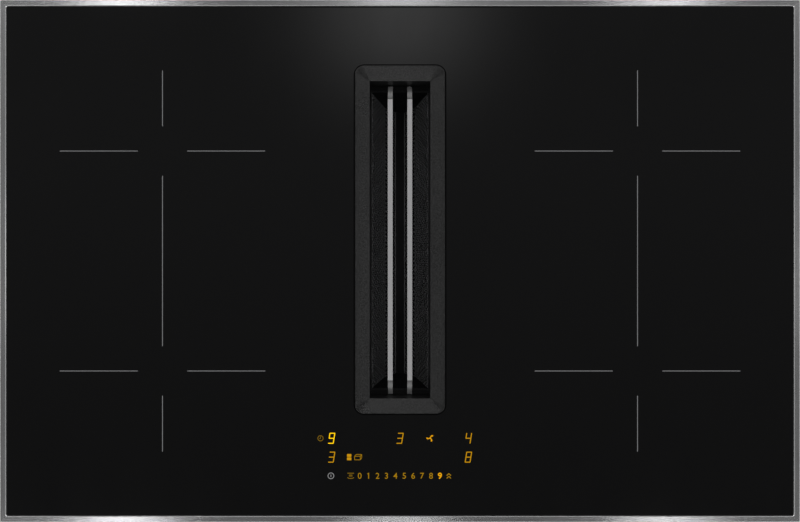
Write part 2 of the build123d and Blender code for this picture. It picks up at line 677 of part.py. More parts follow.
def base_tray():
    """Folded sheet-metal tray that holds the coils and boards under the glass."""
    tray = slab(base_outline(0), BASE_UNDER, BASE_TOP)
    tray -= slab(base_outline(SHEET), BASE_FLOOR, BASE_TOP - SHEET)
    tray -= slab(base_outline(BASE_LIP), BASE_TOP - SHEET, BASE_TOP)
    tray -= slab(
        rounded(WELL_WIDTH + 2 * PASS_GAP, WELL_LENGTH + 2 * PASS_GAP, WELL_CORNER + PASS_GAP, y=COVER_Y),
        BASE_UNDER,
        BASE_FLOOR,
    )
    for x in (-ZONE_X, ZONE_X):
        tray -= slab(fan_grille(x), BASE_UNDER, BASE_FLOOR)
    hole_width = POLE_PITCH * TERMINAL_POLES
    wire_hole = rounded(hole_width, WIRE_HOLE_DEPTH, WIRE_HOLE_CORNER, TERMINAL_X, TERMINAL_Y)
    tray -= slab(wire_hole, BASE_UNDER, BASE_FLOOR)

    slot = Plane.YZ * SlotOverall(VENT_LENGTH, VENT_WIDTH, rotation=90)
    middle = (BASE_FLOOR + BASE_TOP) / 2
    for y in spread(SIDE_VENT_COUNT, VENT_PITCH):
        tray -= Pos(-BASE_WIDTH / 2, y, middle) * extrude(slot, BASE_WIDTH)
    slot = Plane.XZ * SlotOverall(VENT_LENGTH, VENT_WIDTH, rotation=90)
    for x in spread(REAR_VENT_COUNT, VENT_PITCH):
        tray -= Pos(x, BASE_DEPTH / 2, middle) * extrude(slot, SHEET)

    for side in (-1, 1):
        bead_x = side * (BASE_WIDTH / 2 - BEAD_INSET)
        ridge = Pos(bead_x, 0) * SlotOverall(BEAD_LENGTH, BEAD_WIDTH, rotation=90)
        dent = Pos(bead_x, 0) * SlotOverall(BEAD_LENGTH - 2 * SHEET, BEAD_WIDTH - 2 * SHEET, rotation=90)
        tray += slab(ridge, BASE_FLOOR, BASE_FLOOR + BEAD_HEIGHT)
        tray -= slab(dent, BASE_UNDER, BASE_UNDER + BEAD_HEIGHT)
    return tray


def clamp_bracket():
    """Channel in a notch of the base tray, with an upper and a lower ear for the screw."""
    low = CLAMP_TOP - CLAMP_HEIGHT
    ear = NOTCH_DEPTH - 2 * CLAMP_SHEET
    width = NOTCH_WIDTH - 2 * CLAMP_SHEET
    bracket = block(width, CLAMP_SHEET, low, CLAMP_TOP, y=NOTCH_WALL_Y + CLAMP_SHEET / 2)
    middle = NOTCH_WALL_Y + CLAMP_SHEET + ear / 2
    for height in (low, CLAMP_TOP - CLAMP_SHEET):
        bracket += block(width, ear, height, height + CLAMP_SHEET, y=middle)
    return bracket - disc(
        SCREW_RADIUS + RUNNING_GAP, low, CLAMP_TOP, -CLAMP_PIVOT_SHIFT, CLAMP_PIVOT_Y
    )


def clamp_screw():
    """Upright screw of a clamp, turned from below."""
    low = CLAMP_TOP - CLAMP_HEIGHT
    top = CLAMP_TOP + SCREW_HEAD / 2
    screw = disc(SCREW_RADIUS, low, top, -CLAMP_PIVOT_SHIFT, CLAMP_PIVOT_Y)
    head = disc(SCREW_HEAD_RADIUS, low - SCREW_HEAD, low, -CLAMP_PIVOT_SHIFT, CLAMP_PIVOT_Y)
    socket = Pos(-CLAMP_PIVOT_SHIFT, CLAMP_PIVOT_Y) * slab(
        RegularPolygon(SCREW_RADIUS, 6), low - SCREW_HEAD, low - SCREW_HEAD / 3
    )
    return screw + head - socket


def clamp_arm():
    """Arm that swings out under the worktop, with a raised pad at its tip."""
    plan = SlotOverall(ARM_REACH + ARM_WIDTH, ARM_WIDTH)
    arm = slab(plan, ARM_Z, ARM_Z + ARM_THICKNESS)
    pad = plan & Pos(ARM_REACH / 2 + ARM_WIDTH / 2, 0) * Rectangle(2 * ARM_PAD_LENGTH, ARM_WIDTH)
    arm += slab(pad, ARM_Z + ARM_THICKNESS, ARM_Z + ARM_THICKNESS + ARM_PAD)
    arm = Pos(ARM_REACH / 2 - CLAMP_PIVOT_SHIFT, CLAMP_PIVOT_Y) * arm
    bore = SCREW_RADIUS + RUNNING_GAP
    return arm - disc(bore, ARM_Z, ARM_Z + ARM_THICKNESS, -CLAMP_PIVOT_SHIFT, CLAMP_PIVOT_Y)


# Induction coils


def coil():
    """Flat oval winding of one zone, grooved between its bundles of turns."""
    outer = RectangleRounded(COIL_WIDTH, COIL_DEPTH, COIL_CORNER)
    eye = RectangleRounded(COIL_EYE_WIDTH, COIL_EYE_DEPTH, COIL_EYE_CORNER)
    body = slab(outer - eye, FERRITE_TOP, COIL_TOP)
    for index in range(1, COIL_GROOVES + 1):
        share = index / (COIL_GROOVES + 1)
        width = COIL_EYE_WIDTH + share * (COIL_WIDTH - COIL_EYE_WIDTH)
        depth = COIL_EYE_DEPTH + share * (COIL_DEPTH - COIL_EYE_DEPTH)
        radius = COIL_EYE_CORNER + share * (COIL_CORNER - COIL_EYE_CORNER)
        groove = RectangleRounded(width, depth, radius)
        groove -= RectangleRounded(
            width - 2 * GROOVE_WIDTH, depth - 2 * GROOVE_WIDTH, radius - GROOVE_WIDTH
        )
        body -= slab(groove, COIL_TOP - GROOVE_DEPTH, COIL_TOP)
    return body


def ferrite_bars():
    """Radial ferrite bars between every coil and its carrier."""
    bars = []
    for x, y in zone_centres().values():
        for index in range(FERRITE_COUNT):
            turn = (index + 0.5) * 360 / FERRITE_COUNT
            spoke = Rot(0, 0, turn) * Pos(FERRITE_START + FERRITE_LENGTH / 2, 0)
            bar = spoke * slab(Rectangle(FERRITE_LENGTH, FERRITE_WIDTH), CARRIER_TOP, FERRITE_TOP)
            bars.append(Pos(x, y) * bar)
    return group(bars)


def coil_carrier():
    """Aluminium plate that holds a coil up against the glass."""
    width, depth = COIL_WIDTH + 2 * INSULATION_EDGE, COIL_DEPTH + 2 * INSULATION_EDGE
    plate = RectangleRounded(width, depth, CARRIER_CORNER) - Circle(SENSOR_RADIUS)
    return slab(plate, CARRIER_UNDER, CARRIER_TOP)


def coil_insulation():
    """Mica sheets between the coils and the glass."""
    width, depth = COIL_WIDTH + 2 * INSULATION_EDGE, COIL_DEPTH + 2 * INSULATION_EDGE
    sheet = slab(
        RectangleRounded(width, depth, CARRIER_CORNER) - Circle(SENSOR_RADIUS), COIL_TOP, GLASS_UNDER
    )
    return group([Pos(x, y) * sheet for x, y in zone_centres().values()])


def coil_sensors():
    """Temperature sensors that press on the glass through each coil's eye."""
    sensor = disc(SENSOR_RADIUS, CARRIER_UNDER, GLASS_UNDER)
    return group([Pos(x, y) * sensor for x, y in zone_centres().values()])


def carrier_posts():
    """Six-sided plastic posts from the tray's floor to the corners of the coil carriers."""
    reach_x = COIL_WIDTH / 2 + INSULATION_EDGE - POST_INSET_X
    reach_y = COIL_DEPTH / 2 + INSULATION_EDGE - POST_INSET_Y
    return group(
        [
            standoff(POST_RADIUS, BASE_FLOOR, CARRIER_UNDER, x + across_x, y + across_y)
            for x, y in zone_centres().values()
            for across_x in (-reach_x, reach_x)
            for across_y in (-reach_y, reach_y)
        ]
    )


# Electronics in the base tray


def board_on_legs(width, depth, x, y):
    """Circuit board on four short legs."""
    board = block(width, depth, BOARD_UNDER, BOARD_TOP, x, y)
    for leg_x in spread(2, width - 2 * LEG_INSET, x):
        for leg_y in spread(2, depth - 2 * LEG_INSET, y):
            board += standoff(LEG_RADIUS, BASE_FLOOR, BOARD_UNDER, leg_x, leg_y)
    return board


def heat_sink(x):
    """Finned extrusion on a power board, with its fins along the fan's air."""
    sink_x = x - SINK_SHIFT
    fins_low = BOARD_TOP + SINK_BASE
    sink = block(SINK_WIDTH, SINK_LENGTH, BOARD_TOP, fins_low, sink_x, POWER_BOARD_Y)
    for fin_x in spread(SINK_FINS, (SINK_WIDTH - FIN) / (SINK_FINS - 1), sink_x):
        sink += block(FIN, SINK_LENGTH, fins_low, BOARD_TOP + SINK_HEIGHT, fin_x, POWER_BOARD_Y)
    return sink


def power_switches():
    """Power transistors that stand against the heat sinks."""
    beside_sink = (SINK_WIDTH + SWITCH_DEPTH) / 2 - SINK_SHIFT
    switch = block(SWITCH_DEPTH, SWITCH_WIDTH, BOARD_TOP, BOARD_TOP + SWITCH_HEIGHT)
    return group(
        [
            Pos(x + beside_sink, y) * switch
            for x in (-ZONE_X, ZONE_X)
            for y in spread(SWITCH_COUNT, SINK_LENGTH / SWITCH_COUNT, POWER_BOARD_Y)
        ]
    )


def capacitors():
    """Film and filter capacitors of the power boards and of the two small boards."""
    row_x = POWER_BOARD_WIDTH / 2 - CAPACITOR_INSET
    can = disc(CAPACITOR_RADIUS, BOARD_TOP, BOARD_TOP + CAPACITOR_HEIGHT)
    cans = []
    for x in (-ZONE_X, ZONE_X):
        for y in spread(SWITCH_COUNT - 1, SINK_LENGTH / SWITCH_COUNT, POWER_BOARD_Y):
            cans.append(Pos(x + row_x, y) * can)
        cans.append(Pos(x - CHOKE_SHIFT, SIDE_BOARD_Y) * can)
    return group(cans)


def chokes():
    """Ring-core chokes of the small boards."""
    choke = disc(CHOKE_RADIUS, BOARD_TOP, BOARD_TOP + CHOKE_HEIGHT, hole=CHOKE_HOLE)
    places = [x + shift for x in (-ZONE_X, ZONE_X) for shift in (0.0, CHOKE_SHIFT)]
    return group([Pos(x, SIDE_BOARD_Y) * choke for x in places])


def fan_frames():
    """Square frames of the two cooling fans, each with a motor seat on four struts."""
    seat_top = BASE_FLOOR + FAN_STRUT
    outline = RectangleRounded(FAN_SIZE, FAN_SIZE, FAN_CORNER) - Circle(FAN_BORE)
    for x in spread(2, FAN_HOLE_PITCH):
        for y in spread(2, FAN_HOLE_PITCH):
            outline -= Pos(x, y) * Circle(FAN_HOLE)
    body = slab(outline, BASE_FLOOR, BASE_FLOOR + FAN_HEIGHT)
    struts = Rectangle(2 * FAN_BORE, FAN_STRUT) + Rectangle(FAN_STRUT, 2 * FAN_BORE) + Circle(FAN_SEAT)
    body += slab(struts, BASE_FLOOR, seat_top)
    body += disc(FAN_PIN, seat_top, BASE_FLOOR + FAN_HEIGHT / 2)
    return group([Pos(x, FAN_Y) * body for x in (-ZONE_X, ZONE_X)])


def fan_rotor(x):
    """Hub and pitched blades of a cooling fan, turning on the frame's pin."""
    low, high = BASE_FLOOR + FAN_STRUT + FAN_TIP_GAP, BASE_FLOOR + FAN_HEIGHT - FAN_TIP_GAP
    middle = (low + high) / 2
    reach = FAN_BORE - FAN_TIP_GAP
    root = FAN_HUB - FAN_BLADE_ROOT
    paddle = Box(FAN_BORE - root, FAN_BLADE_CHORD, FAN_BLADE)
    blade = Pos((root + FAN_BORE) / 2, 0) * Rot(FAN_BLADE_PITCH, 0, 0) * paddle
    wheel = disc(FAN_HUB, low - middle, high - middle)
    for index in range(FAN_BLADES):
        wheel += Rot(0, 0, index * 360 / FAN_BLADES) * blade
    wheel &= disc(reach, low - middle, high - middle)
    pin_end = BASE_FLOOR + FAN_HEIGHT / 2 + FAN_TIP_GAP
    wheel -= disc(FAN_PIN + SHAFT_GAP, low - middle, pin_end - middle)
    return Pos(x, FAN_Y, middle) * wheel


# Touch panel


def display_frame():
    """Shallow frame that presses the touch board's springs to the glass."""
    low = GLASS_UNDER - PANEL_HEIGHT
    frame = block(PANEL_WIDTH, PANEL_DEPTH, low, GLASS_UNDER, y=PANEL_Y)
    inner_w, inner_d = PANEL_WIDTH - 2 * PANEL_WALL, PANEL_DEPTH - 2 * PANEL_WALL
    return frame - block(inner_w, inner_d, low + PANEL_WALL, GLASS_UNDER, y=PANEL_Y)


def display_board():
    """Touch and display circuit board on the frame's floor."""
    low = GLASS_UNDER - PANEL_HEIGHT + PANEL_WALL
    margin = 2 * PANEL_WALL + PASS_GAP
    return block(PANEL_WIDTH - margin, PANEL_DEPTH - margin, low, low + BOARD, y=PANEL_Y)


def digit_modules():
    """Five number displays of the zones and the fan."""
    low = GLASS_UNDER - PANEL_HEIGHT + PANEL_WALL + BOARD
    module = block(DIGIT_WIDTH, DIGIT_DEPTH, low, GLASS_UNDER)
    places = [(x, DIGIT_ROW_REAR) for x in (-DIGIT_X, 0.0, DIGIT_X)]
    places += [(x, DIGIT_ROW_FRONT) for x in (-DIGIT_X, DIGIT_X)]
    return group([Pos(x, PANEL_Y + row) * module for x, row in places])


def touch_springs():
    """Contact springs between the board and the glass, one under each touch key."""
    low = GLASS_UNDER - PANEL_HEIGHT + PANEL_WALL + BOARD
    keys = [KEY_FIRST_X + index * KEY_PITCH for index in range(KEY_COUNT)] + [POWER_KEY_X]
    ring = RegularPolygon(SPRING_RADIUS, SPRING_SIDES)
    ring -= RegularPolygon(SPRING_RADIUS - SPRING_WALL, SPRING_SIDES)
    spring = slab(ring, low, GLASS_UNDER)
    return group([Pos(x, PANEL_Y + KEY_ROW) * spring for x in keys])


# Mains connection


def terminal_box():
    """Plastic box under the rear left of the tray, open below, with a hole for the gland."""
    low = BASE_UNDER - TERMINAL_HEIGHT
    box = slab(terminal_outline(0), low, BASE_UNDER)
    box -= slab(terminal_outline(TERMINAL_WALL), low, BASE_UNDER - TERMINAL_WALL)
    return box - gland_piece(Circle(GLAND_SEAT), TERMINAL_REAR - TERMINAL_WALL, TERMINAL_REAR)


def terminal_outline(inset):
    """Plan of the terminal box, drawn in by a distance."""
    corner = TERMINAL_CORNER - inset
    width, depth = TERMINAL_WIDTH - 2 * inset, TERMINAL_DEPTH - 2 * inset
    return rounded(width, depth, corner, TERMINAL_X, TERMINAL_Y)


def gland_piece(outline, start, end):
    """An outline drawn out along Y on the gland's axis."""
    face = Plane.XZ * outline
    return Pos(GLAND_X, end, BASE_UNDER - TERMINAL_HEIGHT / 2) * extrude(face, end - start)


def cable_gland():
    """Screwed gland in the rear wall of the terminal box. Its bore takes the supply cable."""
    inside, end = TERMINAL_REAR - TERMINAL_WALL, TERMINAL_REAR + GLAND_LENGTH
    nut_end = TERMINAL_REAR + GLAND_NUT
    dome = gland_piece(Circle(GLAND_DOME), nut_end, end)
    body = fillet(dome.faces().sort_by(Axis.Y)[-1].edges(), GLAND_ROUND)
    body += gland_piece(RegularPolygon(GLAND_RADIUS, 6), TERMINAL_REAR, nut_end)
    body += gland_piece(Circle(GLAND_SEAT), inside, TERMINAL_REAR)
    return body - gland_piece(Circle(GLAND_BORE), inside, end)


def terminal_block():
    """Row of supply terminals on a common base."""
    top = BASE_UNDER - TERMINAL_WALL
    middle = top - POLE_HEIGHT / 2
    y = TERMINAL_Y - TERMINAL_DEPTH / 2 + TERMINAL_WALL + PASS_GAP + POLE_DEPTH / 2
    row = block(POLE_PITCH * TERMINAL_POLES, POLE_DEPTH, middle, top, TERMINAL_X, y)
    pole = block(POLE_PITCH - POLE_GAP, POLE_DEPTH - 2 * POLE_STEP, top - POLE_HEIGHT, middle)
    for x in spread(TERMINAL_POLES, POLE_PITCH, TERMINAL_X):
        row += Pos(x, y) * pole
    return row


def terminal_lid():
    """Cover of the terminal box."""
    low = BASE_UNDER - TERMINAL_HEIGHT
    return slab(terminal_outline(0), low - TERMINAL_LID, low)


# Extractor


def housing_outline(inset):
    """Plan of the extractor housing: a bay round the well and a wider one for the blower."""
    corners = Polyline(
        (HOUSING_LEFT + inset, HOUSING_FRONT + inset),
        (-HOUSING_LEFT - inset, HOUSING_FRONT + inset),
        (-HOUSING_LEFT - inset, HOUSING_STEP + inset),
        (HOUSING_RIGHT - inset, HOUSING_STEP + inset),
        (HOUSING_RIGHT - inset, HOUSING_REAR - inset),
        (HOUSING_LEFT + inset, HOUSING_REAR - inset),
        close=True,
    )
    outline = make_face(corners)
    return fillet(outline.vertices(), HOUSING_CORNER - inset)


def housing_ribs():
    """Upright stiffening ribs on the outside of the shell, but for its rear wall."""
    low, high = HOUSING_UNDER + HOUSING_WALL, LID_UNDER - HOUSING_WALL
    upright = slab(Rectangle(2 * HOUSING_RIB, HOUSING_RIB), low, high)
    ends = 2 * HOUSING_CORNER + HOUSING_RIB
    ribs = []
    for x, front in ((HOUSING_LEFT, HOUSING_FRONT), (HOUSING_RIGHT, HOUSING_STEP)):
        length = HOUSING_REAR - front
        count = int((length - ends) // HOUSING_RIB_PITCH) + 1
        ribs += [Pos(x, y) * upright for y in spread(count, HOUSING_RIB_PITCH, front + length / 2)]
    across_bays = (
        (HOUSING_FRONT, HOUSING_LEFT, -HOUSING_LEFT),
        (HOUSING_STEP, -HOUSING_LEFT, HOUSING_RIGHT),
    )
    for y, left, right in across_bays:
        count = int((right - left - ends) // HOUSING_RIB_PITCH) + 1
        middle = (left + right) / 2
        ribs += [Pos(x, y) * Rot(0, 0, 90) * upright for x in spread(count, HOUSING_RIB_PITCH, middle)]
    return ribs


def housing_lid():
    """Upper panel of the extractor housing, screwed under the base tray."""
    hole = rounded(
        WELL_WIDTH + PASS_GAP, WELL_LENGTH + PASS_GAP, WELL_CORNER + PASS_GAP / 2, y=COVER_Y
    )
    return slab(housing_outline(0) - hole, LID_UNDER, BASE_UNDER)


def housing_shell():
    """Lower shell of the extractor housing, open at the rear for the duct."""
    shell = slab(housing_outline(0), HOUSING_UNDER, LID_UNDER)
    shell = fillet(shell.faces().sort_by(Axis.Z)[0].edges(), HOUSING_ROUND)
    for rib in housing_ribs():
        shell += rib
    shell -= slab(housing_outline(HOUSING_WALL), HOUSING_FLOOR, LID_UNDER)
    hole = Plane.XZ * RectangleRounded(DUCT_WIDTH + PASS_GAP, DUCT_HEIGHT + PASS_GAP, DUCT_CORNER)
    return shell - Pos(DUCT_X, HOUSING_REAR, DUCT_Z) * extrude(hole, HOUSING_WALL)


def scroll_outline(grow):
    """Inside of the blower's scroll and its straight outlet, made larger by a distance."""
    tongue_x = SCROLL_START * cos(radians(TONGUE_ANGLE)) - grow
    start = acos(tongue_x / (SCROLL_START + grow))
    first = radians(TONGUE_ANGLE)
    points = []
    for index in range(SCROLL_POINTS + 1):
        angle = start + (2 * pi - start) * index / SCROLL_POINTS
        radius = SCROLL_START + grow + SCROLL_GROWTH * (angle - first) / (2 * pi - first)
        points.append((radius * cos(angle), radius * sin(angle)))
    spiral = Spline(*points)
    mouth = Polyline(points[-1], (points[-1][0], SCROLL_MOUTH), (tongue_x, SCROLL_MOUTH), points[0])
    return Pos(BLOWER_X, BLOWER_Y) * make_face(spiral.edges() + mouth.edges())


def scroll_base():
    """Lower half of the scroll: floor with the motor's opening, and the spiral wall."""
    outer, inner = scroll_outline(SCROLL_WALL), scroll_outline(0)
    base = slab(outer, SCROLL_UNDER, SCROLL_LID) - slab(inner, SCROLL_UNDER + SCROLL_WALL, SCROLL_LID)
    hole = BEARING_RADIUS + BEARING_TUBE
    return base - disc(hole, SCROLL_UNDER, SCROLL_UNDER + SCROLL_WALL, BLOWER_X, BLOWER_Y)


def inlet_nozzle():
    """Nozzle that leads the air into the wheel: a short tube with a flared, rounded mouth."""
    low = SCROLL_LID - WHEEL_TOP_GAP + INLET_SHEET
    tube, lip = INLET_RADIUS, INLET_RADIUS + INLET_FLARE
    outside = tube + INLET_SHEET
    flare = CenterArc((lip, SCROLL_TOP), INLET_FLARE, 90, 90)
    under = CenterArc((lip, SCROLL_TOP), INLET_FLARE - INLET_SHEET, 90, 90)
    outline = flare + under
    outline += Polyline((tube, SCROLL_TOP), (tube, low), (outside, low), (outside, SCROLL_TOP))
    outline += Line((lip, SCROLL_TOP + INLET_FLARE), (lip, SCROLL_TOP + INLET_FLARE - INLET_SHEET))
    return revolve(Plane.XZ * make_face(outline.edges()), Axis.Z, 360)


def scroll_cover():
    """Upper panel of the scroll with the inlet nozzle moulded on."""
    cover = slab(scroll_outline(SCROLL_WALL), SCROLL_LID, SCROLL_TOP)
    cover -= disc(INLET_RADIUS, SCROLL_LID, SCROLL_TOP, BLOWER_X, BLOWER_Y)
    return cover + Pos(BLOWER_X, BLOWER_Y) * inlet_nozzle()


def wheel_blade():
    """Plan of one forward-curved blade of the blower wheel."""
    inner = FAN_WHEEL_RADIUS - BLADE_DEPTH
    stations = (
        (inner, 0.0),
        (inner + BLADE_DEPTH / 2, BLADE_MID_TURN),
        (FAN_WHEEL_RADIUS - BLADE_THICKNESS / 2, BLADE_TIP_TURN),
    )
    sides = []
    for side in (-1, 1):
        points = []
        for radius, turn in stations:
            angle = radians(turn) + side * BLADE_THICKNESS / 2 / radius
            points.append((radius * cos(angle), radius * sin(angle)))
        sides.append(points)
    back, front = sides
    outline = ThreePointArc(*back) + Line(back[2], front[2]) + ThreePointArc(*front[::-1])
    return make_face((outline + Line(front[0], back[0])).edges())


def blower_wheel():
    """Blower wheel: back plate with a domed hub, a ring of curved blades and a top ring."""
    plate_top = WHEEL_UNDER + WHEEL_PLATE
    ring_under = WHEEL_TOP - WHEEL_RING
    inner = FAN_WHEEL_RADIUS - BLADE_DEPTH
    turns = [index * 360 / BLADE_COUNT for index in range(BLADE_COUNT)]
    blades = Sketch() + [Rot(0, 0, turn) * wheel_blade() for turn in turns]
    wheel = slab(blades, plate_top, ring_under)
    wheel += disc(FAN_WHEEL_RADIUS, ring_under, WHEEL_TOP, hole=inner - WHEEL_RING)
    hub_top = WHEEL_UNDER + HUB_HEIGHT
    wheel += disc(FAN_WHEEL_RADIUS, WHEEL_UNDER, plate_top)
    hub = disc(HUB_RADIUS, WHEEL_UNDER, hub_top)
    wheel += fillet(hub.faces().sort_by(Axis.Z)[-1].edges(), HUB_ROUND)
    wheel -= disc(HUB_RADIUS - HUB_SHELL, WHEEL_UNDER, hub_top - HUB_SHELL)
    return Pos(BLOWER_X, BLOWER_Y) * wheel


def motor_rotor():
    """Outer rotor of the blower motor with its shaft, pressed into the wheel's hub."""
    cup_top = WHEEL_UNDER + HUB_HEIGHT - HUB_SHELL
    cup = HUB_RADIUS - HUB_SHELL
    rotor = disc(cup, WHEEL_UNDER, cup_top)
    rotor -= disc(cup - ROTOR_CUP, WHEEL_UNDER, cup_top - ROTOR_CUP)
    rotor += disc(SHAFT_RADIUS, SCROLL_UNDER, cup_top - ROTOR_CUP)
    return Pos(BLOWER_X, BLOWER_Y) * rotor


def motor_plate():
    """Motor plate under the scroll, with the tube that holds the bearings."""
    top = stator_top()
    tube = BEARING_RADIUS + BEARING_TUBE
    plate = disc(MOTOR_PLATE_RADIUS, SCROLL_UNDER - MOTOR_PLATE, SCROLL_UNDER)
    plate += disc(tube, SCROLL_UNDER, top)
    plate -= disc(BEARING_RADIUS, SCROLL_UNDER, top)
    return Pos(BLOWER_X, BLOWER_Y) * plate


def stator_top():
    """Upper end of the stator, just under the rotor's cup."""
    return WHEEL_UNDER + HUB_HEIGHT - HUB_SHELL - ROTOR_CUP - 2 * MOTOR_AIR_GAP


def motor_stator():
    """Wound stator inside the rotor's cup."""
    radius = HUB_RADIUS - HUB_SHELL - ROTOR_CUP - MOTOR_AIR_GAP
    low = SCROLL_UNDER + SCROLL_WALL
    return disc(radius, low, stator_top(), BLOWER_X, BLOWER_Y, hole=BEARING_RADIUS + BEARING_TUBE)


def motor_bearings():
    """Two ball bearings of the motor shaft."""
    bore = SHAFT_RADIUS + SHAFT_GAP
    bearing = disc(BEARING_RADIUS, 0, BEARING_WIDTH, hole=bore)
    lows = (SCROLL_UNDER, stator_top() - BEARING_WIDTH)
    return group([Pos(BLOWER_X, BLOWER_Y, low) * bearing for low in lows])


def blower_dampers():
    """Rubber feet between the scroll and the housing's floor."""
    foot = Pos(DAMPER_CIRCLE, 0) * disc(DAMPER_RADIUS, HOUSING_FLOOR, SCROLL_UNDER)
    return group([Pos(BLOWER_X, BLOWER_Y) * Rot(0, 0, turn) * foot for turn in (45, 135, 225, 315)])


def duct_body(grow):
    """The outlet duct's space: a taper from the scroll's mouth, then a straight collar."""
    mouth_y = BLOWER_Y + SCROLL_MOUTH
    left = BLOWER_X + SCROLL_START * cos(radians(TONGUE_ANGLE))
    right = BLOWER_X + SCROLL_END
    mouth_w = right - left + 2 * grow
    mouth_h = SCROLL_LID - SCROLL_UNDER - SCROLL_WALL + 2 * grow
    end_w = DUCT_WIDTH - 2 * DUCT_WALL + 2 * grow
    end_h = DUCT_HEIGHT - 2 * DUCT_WALL + 2 * grow
    corner = DUCT_CORNER - DUCT_WALL + grow
    mouth = Plane.XZ * RectangleRounded(mouth_w, mouth_h, corner)
    end = Plane.XZ * RectangleRounded(end_w, end_h, corner)
    near = Pos((left + right) / 2, mouth_y, DUCT_Z) * mouth
    far = Pos(DUCT_X, DUCT_END - DUCT_COLLAR, DUCT_Z) * end
    taper = loft([near, far], ruled=True)
    collar = Pos(DUCT_X, DUCT_END, DUCT_Z) * extrude(end, DUCT_COLLAR)
    return taper + collar


def outlet_duct():
    """Duct from the scroll to the flat outlet collar behind the housing, with a raised stop."""
    width, height = DUCT_WIDTH + 2 * DUCT_BEAD, DUCT_HEIGHT + 2 * DUCT_BEAD
    bead = Plane.XZ * RectangleRounded(width, height, DUCT_CORNER + DUCT_BEAD)
    bead_end = HOUSING_REAR + REST_GAP + DUCT_BEAD_WIDTH
    duct = duct_body(DUCT_WALL) + Pos(DUCT_X, bead_end, DUCT_Z) * extrude(bead, DUCT_BEAD_WIDTH)
    return duct - duct_body(0)


def build():
    """Every sub-part, by the name of its node."""
    power = (POWER_BOARD_WIDTH, POWER_BOARD_DEPTH)
    small = (SIDE_BOARD_WIDTH, SIDE_BOARD_DEPTH)
    parts = {
        "trim_frame": trim_frame(),
        "edge_seal": edge_seal(),
        "worktop_gasket": worktop_gasket(),
        "glass_top": glass_top(),
        "cover_frame": cover_frame(),
        "bar_cap_left": bar_cap(-BAR_SPACING / 2),
        "bar_cap_right": bar_cap(BAR_SPACING / 2),
        "well": well(),
        "well_seal": well_seal(),
        "filter_frame": filter_frame(),
        "filter_mesh_right": filter_mesh(),
        "filter_mesh_left": mirror(filter_mesh(), Plane.YZ),
        "drip_tray": drip_tray(),
        "base_tray": base_tray(),
        "ferrite_bars": ferrite_bars(),
        "coil_insulation": coil_insulation(),
        "coil_sensors": coil_sensors(),
        "carrier_posts": carrier_posts(),
        "coil_carriers": group([Pos(x, y) * coil_carrier() for x, y in zone_centres().values()]),
        "power_board_left": board_on_legs(*power, -ZONE_X, POWER_BOARD_Y),
        "power_board_right": board_on_legs(*power, ZONE_X, POWER_BOARD_Y),
        "mains_filter_board": board_on_legs(*small, -ZONE_X, SIDE_BOARD_Y),
        "blower_board": board_on_legs(*small, ZONE_X, SIDE_BOARD_Y),
        "heat_sink_left": heat_sink(-ZONE_X),
        "heat_sink_right": heat_sink(ZONE_X),
        "power_switches": power_switches(),
        "capacitors": capacitors(),
        "chokes": chokes(),
        "fan_frames": fan_frames(),
        "fan_rotor_left": fan_rotor(-ZONE_X),
        "fan_rotor_right": fan_rotor(ZONE_X),
        "display_frame": display_frame(),
        "display_board": display_board(),
        "digit_modules": digit_modules(),
        "touch_springs": touch_springs(),
        "terminal_box": terminal_box(),
        "terminal_block": terminal_block(),
        "terminal_lid": terminal_lid(),
        "cable_gland": cable_gland(),
        "housing_lid": housing_lid(),
        "housing_shell": housing_shell(),
        "scroll_base": scroll_base(),
        "scroll_cover": scroll_cover(),
        "blower_wheel": blower_wheel(),
        "motor_rotor": motor_rotor(),
        "motor_plate": motor_plate(),
        "motor_stator": motor_stator(),
        "motor_bearings": motor_bearings(),
        "blower_dampers": blower_dampers(),
        "outlet_duct": outlet_duct(),
        "clamp_brackets": group([place * clamp_bracket() for place in clamp_places().values()]),
        "clamp_screws": group([place * clamp_screw() for place in clamp_places().values()]),
    }
    for name, (x, y) in zone_centres().items():
        parts[f"coil_{name}"] = Pos(x, y) * coil()
    for name, place in clamp_places().items():
        parts[f"clamp_arm_{name}"] = place * clamp_arm()
    return parts


os.makedirs("parts", exist_ok=True)
for node, shape in build().items():
    export_step(shape, f"parts/{node}.step")
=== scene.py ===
"""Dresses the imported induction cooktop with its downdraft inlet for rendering.

Lengths are in metres, in the row frame: +X is the right side, +Y the rear, +Z up, and z = 0 is the
worktop's surface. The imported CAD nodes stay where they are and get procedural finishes. What the
solids leave plain, such as the printed marks, lit symbols, filter mesh, threads and screws, is
modelled here.
"""

import logging
import math
from collections.abc import Callable, Iterable, Iterator, Sequence
from contextlib import contextmanager
from dataclasses import dataclass
from enum import Enum

import bmesh
import bpy
from bpy.types import Material, Node, NodeSocket, NodeTree, Object
from mathutils import Matrix, Vector

